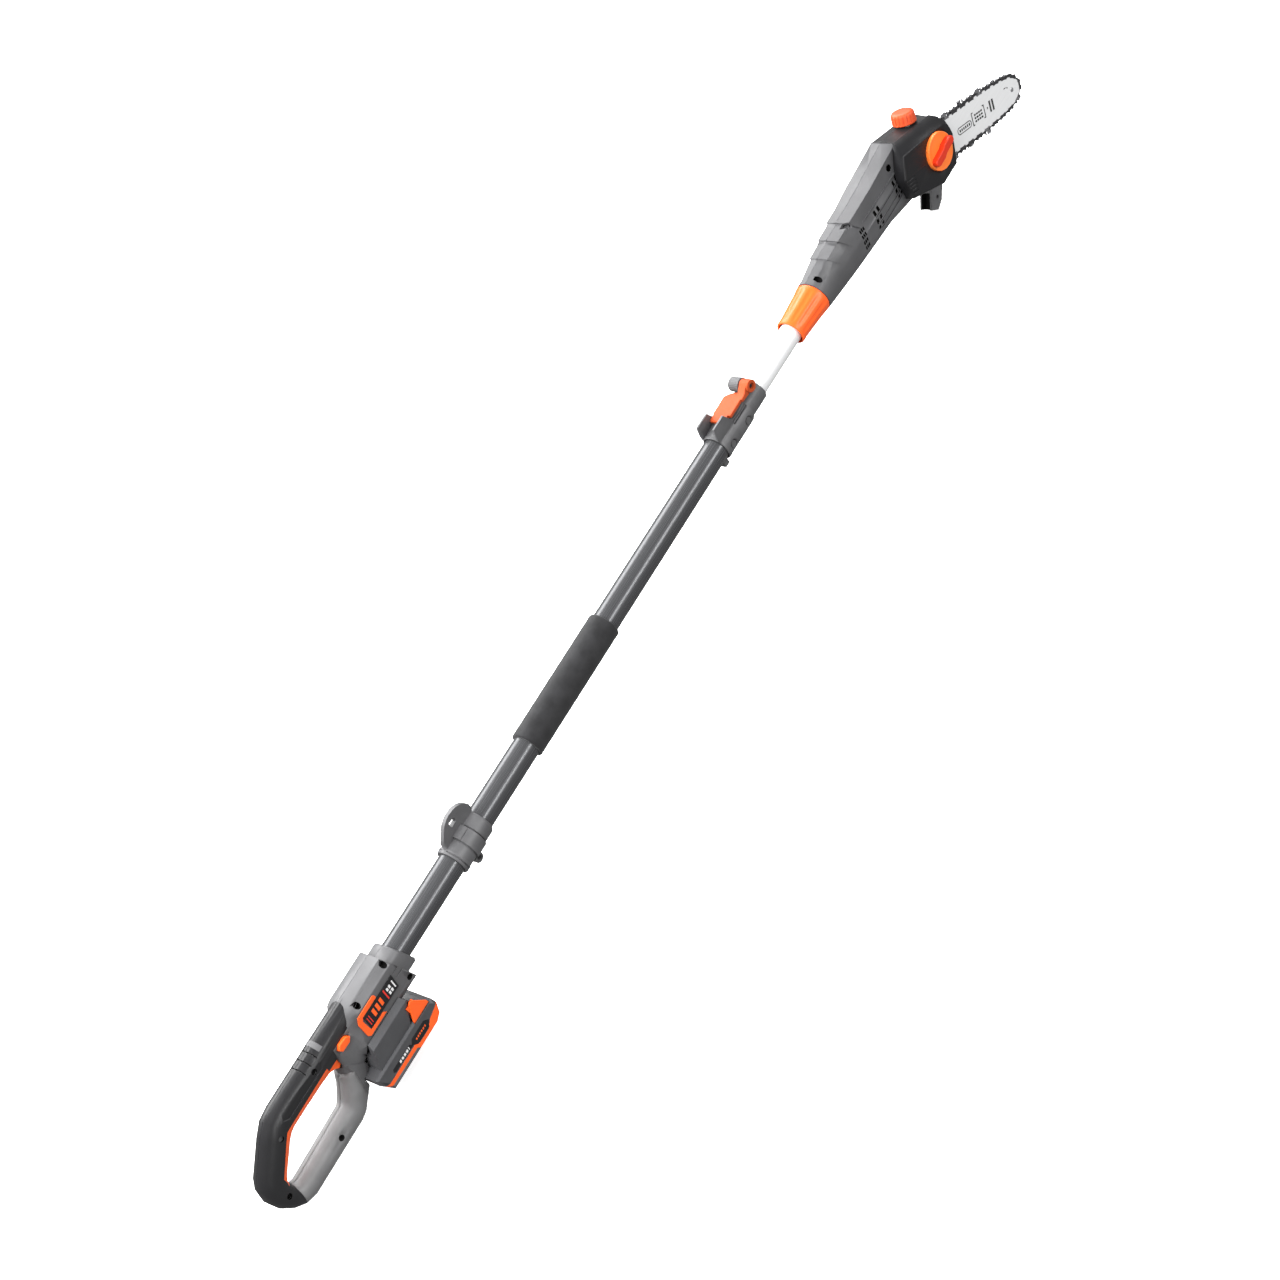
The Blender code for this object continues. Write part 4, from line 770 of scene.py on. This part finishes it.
def scale_piece(start, length, side, proud=2.1, sweep=0.75):
    """One of the overlapping scales of the head: its rear lip stands proud and sweeps forwards."""
    rings = []
    for share, lift in ((0.0, proud), (1.0, -0.25), (1.0, -1.2), (0.0, -1.2)):
        half = head_half_section(start + length * share)
        upper = half[:4]
        outline = [(side * y, z) for y, z in upper]
        moved = []
        for i, (y, z) in enumerate(outline):
            if i == 0:
                normal = Vector((0.0, 1.0))
                y = side * 0.15
            else:
                before = Vector(outline[i - 1])
                after = Vector(outline[i + 1]) if i + 1 < len(outline) else Vector((y, z - 5.0))
                along = (after - before).normalized()
                normal = Vector((-along.y, along.x)) * (-side)
                if normal.x * side < 0:
                    normal = -normal
            reach = lift if lift < 0 or i < 3 else -0.3
            moved.append((start + length * share + sweep * max(0.0, upper[0][1] - z) * 0.8,
                          y + normal.x * reach, z + normal.y * reach))
        rings.append(moved)
    count = len(rings[0])
    verts = [v for ring in rings for v in ring]
    faces = []
    for i in range(4):
        for j in range(count - 1):
            a = i * count + j
            b = ((i + 1) % 4) * count + j
            faces.append((a, a + 1, b + 1, b))
    faces.append(tuple(i * count for i in range(4)))
    faces.append(tuple(i * count + count - 1 for i in range(4)))
    return solid(verts, faces)


def vent_cutters(side):
    """The cooling slots and the three long grooves of one side of the head."""
    tools = []
    for z in (6.8, -4.2, -12.0):
        path = [(673.0, side * 40.0), (673.0, side * 25.7), (694.0, side * 26.0),
                (724.0, side * 25.1), (747.0, side * 22.1), (747.0, side * 40.0)]
        tools.append(prism(path, "Z", z - 1.15, z + 1.15))
    for (z0, z1), places in (((7.5, 13.6), (675.0, 683.6, 729.0, 738.0)),
                             ((-3.6, 2.6), (671.5, 680.0, 726.0, 735.0)),
                             ((-11.4, -7.4), (669.5, 678.0, 725.0, 733.0))):
        for x in places:
            tools.append(prism([(x - 2.4, z0), (x + 2.4, z0), (x + 4.2, z1), (x - 0.4, z1)], "Y",
                               *span(side, 17.5, 40.0)))
    for z, x in ((12.6, 638.0), (5.6, 635.5), (-2.1, 633.0), (-9.8, 631.5)):
        for i in range(3):
            left = x + 3.6 * i
            tools.append(prism([(left, z - 2.4), (left + 2.6, z - 2.4), (left + 3.6, z + 2.4),
                                (left + 1.0, z + 2.4)], "Y", *span(side, 17.0, 40.0)))
    return tools


def housing_region():
    """The end of the head behind the cover, where the dark housing takes over."""
    return prism([(749.5, 64.0), (772.0, 42.4), (776.0, -60.0), (900.0, -60.0), (900.0, 64.0)],
                 "Y", -60.0, 60.0)


def in_vent(x, y, z, face):
    """Tells whether a face is a wall of the head's vents, or belongs to a round recess; these faces
    take black painted shade.
    """
    if in_recess(HEAD_RECESSES)(x, y, z, face):
        return True
    return (628.0 < x < 750.0 and -14.5 < z < 15.4 and abs(face.normal.y) < 0.7
            and abs(y) > 14.0)


def make_head():
    """The head's shells with their scales, housing and ridges, the vents with black painted shade on
    their walls and a black slab of painted shade behind them, and the hook with painted shade in its
    pocket.
    """
    for side, hand in SIDES:
        shell = cad_copy("head_half_" + hand)
        for start in (574.0, 603.0, 632.0):
            join(shell, scale_piece(start, 27.0, side))
        housing = keep(duplicate(shell), housing_region())
        cut(shell, housing_region(), *vent_cutters(side))
        if side < 0:
            slit = prism([(624.0, -9.0), (632.0, -9.0), (640.0, -26.0), (632.0, -26.0)], "Z",
                         29.0, 45.0)
            cut(shell, slit, *recesses(HEAD_RECESSES))
        ridge = prism([(646.0, 17.4), (646.0, 19.0), (742.0, 19.0), (742.0, 17.4)], "Y",
                      *span(side, 20.6, 23.3))
        finish(ridge, "head_ridge_" + hand, "head_grey", "head")
        finish(housing, "head_housing_" + hand, "housing_black", "head", sharp=30.0)
        finish(shell, "head_skin_" + hand, "head_grey", "head", "head_half_" + hand, sharp=30.0)
        # black painted shade on the vent walls and in the round recesses
        repaint(shell, "recess_painted_shade", in_vent)
        # painted shade: a black slab inside the head behind the vents, standing in for the dark
        # within
        depth = span(side, 15.0, 19.4)
        shade_slab = join(box((668.0, 744.0), depth, (-13.0, 15.0)),
                       box((630.0, 652.0), depth, (-13.0, 15.5)))
        finish(shade_slab, "vent_shade_slab_" + hand, "recess_painted_shade", "head")
    for number in (1, 2):
        sunk_screw("head_screw_%d" % number, "head")
    hook = cad_copy("branch_hook")
    cut(hook, prism([(788.9, -69.8), (772.5, -89.2), (778.6, -94.4), (795.0, -75.0)], "Y",
                    -7.0, 7.4))
    finish(hook, "branch_hook_skin", SLOT_OF["branch_hook"], "head", "branch_hook")
    # black painted shade on the walls of the hook's pocket
    repaint(hook, "recess_painted_shade", lambda x, y, z, face: abs(y) < 7.6 and x < 795.6 and
            0.765 * (x - 793.0) - 0.643 * (z + 68.0) > 0.4)


def make_cover():
    """The sprocket cover, with its five ribs."""
    cover = cad_copy("sprocket_cover")
    for i in range(5):
        n = -30.0 + i * 5.0
        groove = [(-84.0, n), (-57.0, n), (-57.0, n + 2.4), (-84.0, n + 2.4)]
        cut(cover, prism(tilted(groove), "Y", -60.0, COVER_Y + 1.0))
    finish(cover, "sprocket_cover_skin", "black_plastic", "head", "sprocket_cover", sharp=30.0)


def make_knob():
    """The cover's knob: a notched disc in a lighter orange as painted light, with a grip across it in
    a darker orange as painted shade.
    """
    turn = math.radians(6.0)
    radius = 26.5
    disc = turned([(COVER_Y + 3.7, 25.6), (COVER_Y + 3.7, radius), (COVER_Y - 3.4, radius),
                   (COVER_Y - 4.1, radius - 0.3), (COVER_Y - 4.6, radius - 1.2),
                   (COVER_Y - 4.2, radius - 3.4), (COVER_Y - 3.6, radius - 7.0)], "Y",
                  BAR_ORIGIN, 72)
    for i in range(24):
        angle = 2.0 * math.pi * (i + 0.5) / 24
        centre = (BAR_ORIGIN[0] + 27.0 * math.cos(angle), BAR_ORIGIN[1] + 27.0 * math.sin(angle))
        cut(disc, turned([(COVER_Y - 3.0, 0.9), (COVER_Y + 9.0, 0.9)], "Y", centre, 8))
    half = [(-25.0, -1.6), (-23.4, -4.4), (-20.0, -6.2), (-6.0, -7.0), (0.0, -5.2), (6.0, -5.0),
            (20.0, -5.6), (23.4, -4.4), (25.0, -1.6)]
    outline = half + [(-along, -across) for along, across in half]
    turned_outline = [(BAR_ORIGIN[0] + along * math.cos(turn) - across * math.sin(turn),
                       BAR_ORIGIN[1] + along * math.sin(turn) + across * math.cos(turn))
                      for along, across in outline]
    grip = puffed(turned_outline, "Y", COVER_Y - 11.9, COVER_Y - 2.0, 1.4)
    # the grip's darker orange is painted shade
    finish(grip, "knob_grip", "orange_painted_shade", "knob")
    cut(disc, turned([(COVER_Y - 0.8, 4.2), (COVER_Y + 8.0, 4.2)], "Y", BAR_ORIGIN, 24))
    # the disc's lighter orange is painted light
    finish(disc, "cover_knob_skin", "orange_painted_light", "knob", "cover_knob")


def make_cap():
    """The oil cap: a knurled wall and a domed top, square to the bar."""
    along = Vector((math.sin(BAR_ANGLE), 0.0, math.cos(BAR_ANGLE)))
    across = Vector((math.cos(BAR_ANGLE), 0.0, -math.sin(BAR_ANGLE)))
    side = Vector((0.0, 1.0, 0.0))
    neck = tilt(-4.5, 36.0)
    base = Vector((neck[0], 0.0, neck[1]))
    count = 144
    knurls = 18

    def turned_on_neck(profile):
        rings = []
        for height, radius, depth in profile:
            ring = []
            for i in range(count):
                angle = 2.0 * math.pi * i / count
                reach = radius - depth * max(0.0, math.cos(knurls * angle)) ** 0.7
                ring.append(tuple(base + along * height + across * (reach * math.cos(angle))
                                  + side * (reach * math.sin(angle))))
            rings.append(ring)
        return loft(rings)

    cap = turned_on_neck([(6.6, 15.8, 0.0), (7.2, 16.8, 0.0), (8.6, 17.1, 0.0), (9.0, 16.9, 1.0),
                          (18.6, 16.5, 1.1), (20.6, 15.8, 0.7), (22.4, 14.4, 0.1),
                          (23.2, 12.6, 0.0), (23.4, 9.0, 0.0)])
    cut(cap, turned_on_neck([(5.0, 9.3, 0.0), (12.4, 9.3, 0.0)]))
    finish(cap, "oil_cap_skin", "cap_orange", "cap", "oil_cap")


# ---------------- bar and chain
BAR_TOP = [(-31.0, 18.0), (-27.0, 24.2), (-20.0, 25.0), (60.0, 25.0), (110.0, 24.8),
           (140.0, 24.0), (165.0, 22.4), (184.0, 20.2), (196.0, 17.8), (205.0, 13.4),
           (211.4, 7.4)]
BAR_TIP = (213.6, 0.0)
MARK_REACH = (BAR_FACE - 0.12, BAR_FACE + 0.1)
SPROCKET_S = -47.0
SPROCKET_RADIUS = 14.6
LINK_COUNT = 60
NOSE_FROM = 130.0  # from here to the tip the links are lower, to stay in the CAD's box
NOSE_HEIGHT = 0.84
TALL_CUTTERS = (38.0, 128.0)  # the stretch of the bar where the cutters stand out most


def rounded_box(s, n, half_length, half_height, corner, count=6):
    """A rounded rectangle of the bar frame, centred on (s, n)."""
    points = []
    for quarter, (x, y) in enumerate(((1, 1), (-1, 1), (-1, -1), (1, -1))):
        for i in range(count + 1):
            angle = math.pi / 2 * (quarter + i / count)
            points.append((s + x * (half_length - corner) + corner * math.cos(angle),
                           n + y * (half_height - corner) + corner * math.sin(angle)))
    return points


def make_bar():
    """The bar and its rivet, with generic marks in place of the print."""
    twin("guide_bar", "head")
    twin("nose_rivet", "head")
    marks = prism(tilted(rounded_box(79.0, -3.0, 16.5, 5.2, 4.8)), "Y", *MARK_REACH)
    cut(marks, prism(tilted(rounded_box(79.0, -3.0, 15.3, 4.0, 3.6)), "Y", BAR_FACE - 1.0,
                     BAR_FACE + 1.0))
    blocks = [(67.0 + 4.4 * i, -4.9, 2.6, 3.8) for i in range(6)]
    for end, lip in ((98.0, 0.0), (127.0, -2.4)):
        blocks += [(end, -10.0, 1.6, 19.0), (end + lip, 7.4, 4.0, 1.6), (end + lip, -10.0, 4.0, 1.6)]
    blocks += [(104.0 + 5.0 * i, -7.0 + 4.6 * k, 3.8, 2.6) for i in range(4) for k in range(3)]
    blocks += [(134.0, -1.0, 2.6, 2.6), (140.0, -8.0, 3.6, 16.0), (146.5, -8.0, 3.6, 16.0)]
    blocks += [(178.0, 8.0, 5.0, 1.4), (185.0, 6.4, 1.8, 1.8)]
    for s, n, wide, tall in blocks:
        block = [(s, n), (s + wide, n), (s + wide, n + tall), (s, n + tall)]
        join(marks, prism(tilted(block), "Y", *MARK_REACH))
    finish(marks, "bar_marks", "print_black", "head")


def chain_track():
    """The chain's inside edge round the bar and the drive sprocket, as points and lengths."""
    outline = BAR_TOP + [BAR_TIP] + [(s, -n) for s, n in reversed(BAR_TOP)]
    rail = offset_outline(outline, 0.25)
    run = rail[1:len(BAR_TOP)]
    wheel = []
    for step in range(13):
        angle = math.radians(118.0 + 124.0 * step / 12)
        wheel.append((SPROCKET_S + SPROCKET_RADIUS * math.cos(angle),
                      SPROCKET_RADIUS * math.sin(angle)))
    points = run + [rail[len(BAR_TOP)]] + [(s, -n) for s, n in reversed(run)] + wheel[::-1]
    lengths = [math.dist(points[i], points[(i + 1) % len(points)]) for i in range(len(points))]
    return points, lengths


def on_track(points, lengths, distance):
    """The point of the track at a distance along it."""
    distance %= sum(lengths)
    for i, length in enumerate(lengths):
        if distance <= length:
            share = distance / length
            after = points[(i + 1) % len(points)]
            return Vector((points[i][0] + (after[0] - points[i][0]) * share,
                           points[i][1] + (after[1] - points[i][1]) * share))
        distance -= length
    return Vector(points[0])


# sides of the links: (along the chain, outwards from the track), which reach a little into the bar
STRAP_SIDE = [(-5.6, -1.3), (-7.0, 1.4), (-7.3, 3.4), (-6.8, 5.6), (-4.8, 6.8), (-2.8, 6.2),
              (-1.2, 4.9), (1.2, 4.9), (2.8, 6.2), (4.8, 6.8), (6.8, 5.6), (7.3, 3.4),
              (7.0, 1.4), (5.6, -1.3), (2.0, -0.6), (-2.0, -0.6)]
DRIVE_SIDE = [(-5.4, -0.6), (-6.6, 2.2), (-6.4, 4.4), (-4.6, 5.5), (-1.4, 5.0), (1.6, 5.3),
              (4.6, 6.0), (6.4, 4.4), (6.6, 2.2), (5.4, -0.6)]


def cutter_side(top):
    """A cutter's side plate: the tooth behind, the gullet, and the depth gauge in front."""
    return [(-5.6, -1.3), (-7.2, 1.4), (-7.4, 5.0), (-7.0, top - 0.7), (0.8, top), (1.2, 4.6),
            (2.2, 3.6), (3.4, 4.4), (4.0, top - 0.9), (5.6, top - 0.6), (7.0, 5.0), (7.3, 3.2),
            (7.0, 1.4), (5.6, -1.3), (2.0, -0.6), (-2.0, -0.6)]


def make_chain():
    """The chain: drive links between pairs of plates, with a cutter in every other pair."""
    points, lengths = chain_track()
    pitch = sum(lengths) / LINK_COUNT
    tip = points.index(max(points))
    shift = sum(lengths[:tip]) - 3.0 * pitch
    plates = bmesh.new()
    cutters = bmesh.new()

    def add(shape, side, low, high, middle, along, outward):
        """Add one plate, from its side and its reach across the bar."""
        ends = []
        for y in (low, high):
            ring = []
            for t, u in side:
                s, n = middle + along * t + outward * u
                x, z = tilt(s, n)
                ring.append(shape.verts.new(place((x, BAR_Y + y, z))))
            ends.append(ring)
        count = len(side)
        shape.faces.new(ends[0])
        shape.faces.new(list(reversed(ends[1])))
        for i in range(count):
            k = (i + 1) % count
            shape.faces.new((ends[0][i], ends[1][i], ends[1][k], ends[0][k]))

    for number in range(LINK_COUNT):
        start = on_track(points, lengths, (number - 0.5) * pitch + shift)
        end = on_track(points, lengths, (number + 0.5) * pitch + shift)
        middle = (start + end) / 2
        along = (end - start).normalized()
        outward = Vector((-along.y, along.x)) * (1.0 if middle.x < NOSE_FROM else NOSE_HEIGHT)
        if number % 2 == 0:
            add(plates, DRIVE_SIDE, -0.65, 0.65, middle, along, outward)
        else:
            hand = 1.0 if number % 8 == 1 else -1.0
            cutting = number % 4 == 1
            top = 9.6 if TALL_CUTTERS[0] < middle.x < TALL_CUTTERS[1] else 7.0
            for side in (-1.0, 1.0):
                low, high = sorted((side * 0.85, side * 1.95))
                sharp = cutting and side == hand
                add(cutters if sharp else plates, cutter_side(top) if sharp else STRAP_SIDE,
                    low, high, middle, along, outward)
            if cutting:
                low, high = sorted((hand * 2.7, hand * 0.2))
                add(cutters, [(-6.9, top - 1.5), (-7.0, top - 0.7), (0.8, top), (0.4, top - 1.1)],
                    low, high, middle, along, outward)
        add(plates, circle(1.75, count=10), -2.35, 2.35, start + outward * 3.1, along, outward)
    finish(shape_object(plates), "chain_links", "chain_steel", "head", "chain")
    teeth = finish(shape_object(cutters), "chain_cutters", "cutter_chrome", "head")


# ---------------- everything else
def paint_cad():
    """The CAD nodes that show as they are take their detailed material."""
    for name, node in NODES.items():
        if not node.hide_render:
            node.data.materials.clear()
            node.data.materials.append(PAINTS[SLOT_OF[name]])


def make_camera():
    """The photograph's view: from above the right side of the handle, the pole running away."""
    right = Vector((0.5000, -0.7144, -0.4896))
    up = Vector((0.7921, 0.1486, 0.5920))
    back = right.cross(up)
    where = place((-1098.9, -2177.9, 1973.7))
    lens = bpy.data.cameras.new("camera")
    lens.lens = 71.3
    lens.sensor_width = 36.0
    lens.clip_end = 30.0
    camera = bpy.data.objects.new("camera", lens)
    bpy.context.scene.collection.objects.link(camera)
    camera.matrix_world = Matrix((
        (right.x, up.x, back.x, where.x), (right.y, up.y, back.y, where.y),
        (right.z, up.z, back.z, where.z), (0.0, 0.0, 0.0, 1.0)))
    bpy.context.scene.camera = camera


def soft_light(name, where, aim, size, power):
    """A soft box, aimed at a point."""
    lamp = bpy.data.lights.new(name, "AREA")
    lamp.shape = "RECTANGLE"
    lamp.size, lamp.size_y = size
    lamp.energy = power
    made = bpy.data.objects.new(name, lamp)
    bpy.context.scene.collection.objects.link(made)
    made.location = where
    made.rotation_mode = "QUATERNION"
    made.rotation_quaternion = (Vector(aim) - Vector(where)).to_track_quat("-Z", "Y")
    return made


def make_stage():
    """A pale, faintly lit floor, an even sky, and soft boxes above, behind and in front."""
    shape = bmesh.new()
    bmesh.ops.create_grid(shape, x_segments=2, y_segments=2, size=12.0)
    floor = shape_object(shape, "floor")
    floor.location = (0.0, 0.0, cad_low[2] - 0.0005)
    paint, tree, shader, coords = new_paint("floor_pale", 0.8)
    blend_colours(tree, noise(tree, coords, 3.0), (0.80, 0.80, 0.80), (0.82, 0.82, 0.82),
                  shader.inputs["Base Color"])
    shader.inputs["Emission Color"].default_value = (1.0, 1.0, 1.0, 1.0)
    shader.inputs["Emission Strength"].default_value = 0.7
    floor.data.materials.append(paint)
    floor.visible_diffuse = False
    floor.visible_glossy = False
    world = bpy.data.worlds.new("studio")
    world.use_nodes = True
    sky = world.node_tree.nodes["Background"]
    sky.inputs["Color"].default_value = (1.0, 1.0, 1.0, 1.0)
    sky.inputs["Strength"].default_value = 0.32
    bpy.context.scene.world = world
    overhead = soft_light("top_light", (-0.9, 0.5, 2.6), (0.0, 0.0, 0.0), (4.0, 2.6), 320.0)
    overhead.visible_glossy = False
    soft_light("back_light", (1.0, 2.5, 2.1), (0.0, 0.0, 0.0), (6.0, 1.5), 235.0)
    soft_light("front_light", (1.0, -3.0, 1.25), (0.0, 0.0, 0.1), (6.0, 0.55), 115.0)
    bpy.context.scene.view_settings.view_transform = "Standard"


make_shells()
make_grip()
make_trigger()
make_label()
make_battery()
make_tubes()
make_strap_bracket()
make_latch()
make_collar()
make_head()
make_cover()
make_knob()
make_cap()
make_bar()
make_chain()
paint_cad()
make_camera()
make_stage()
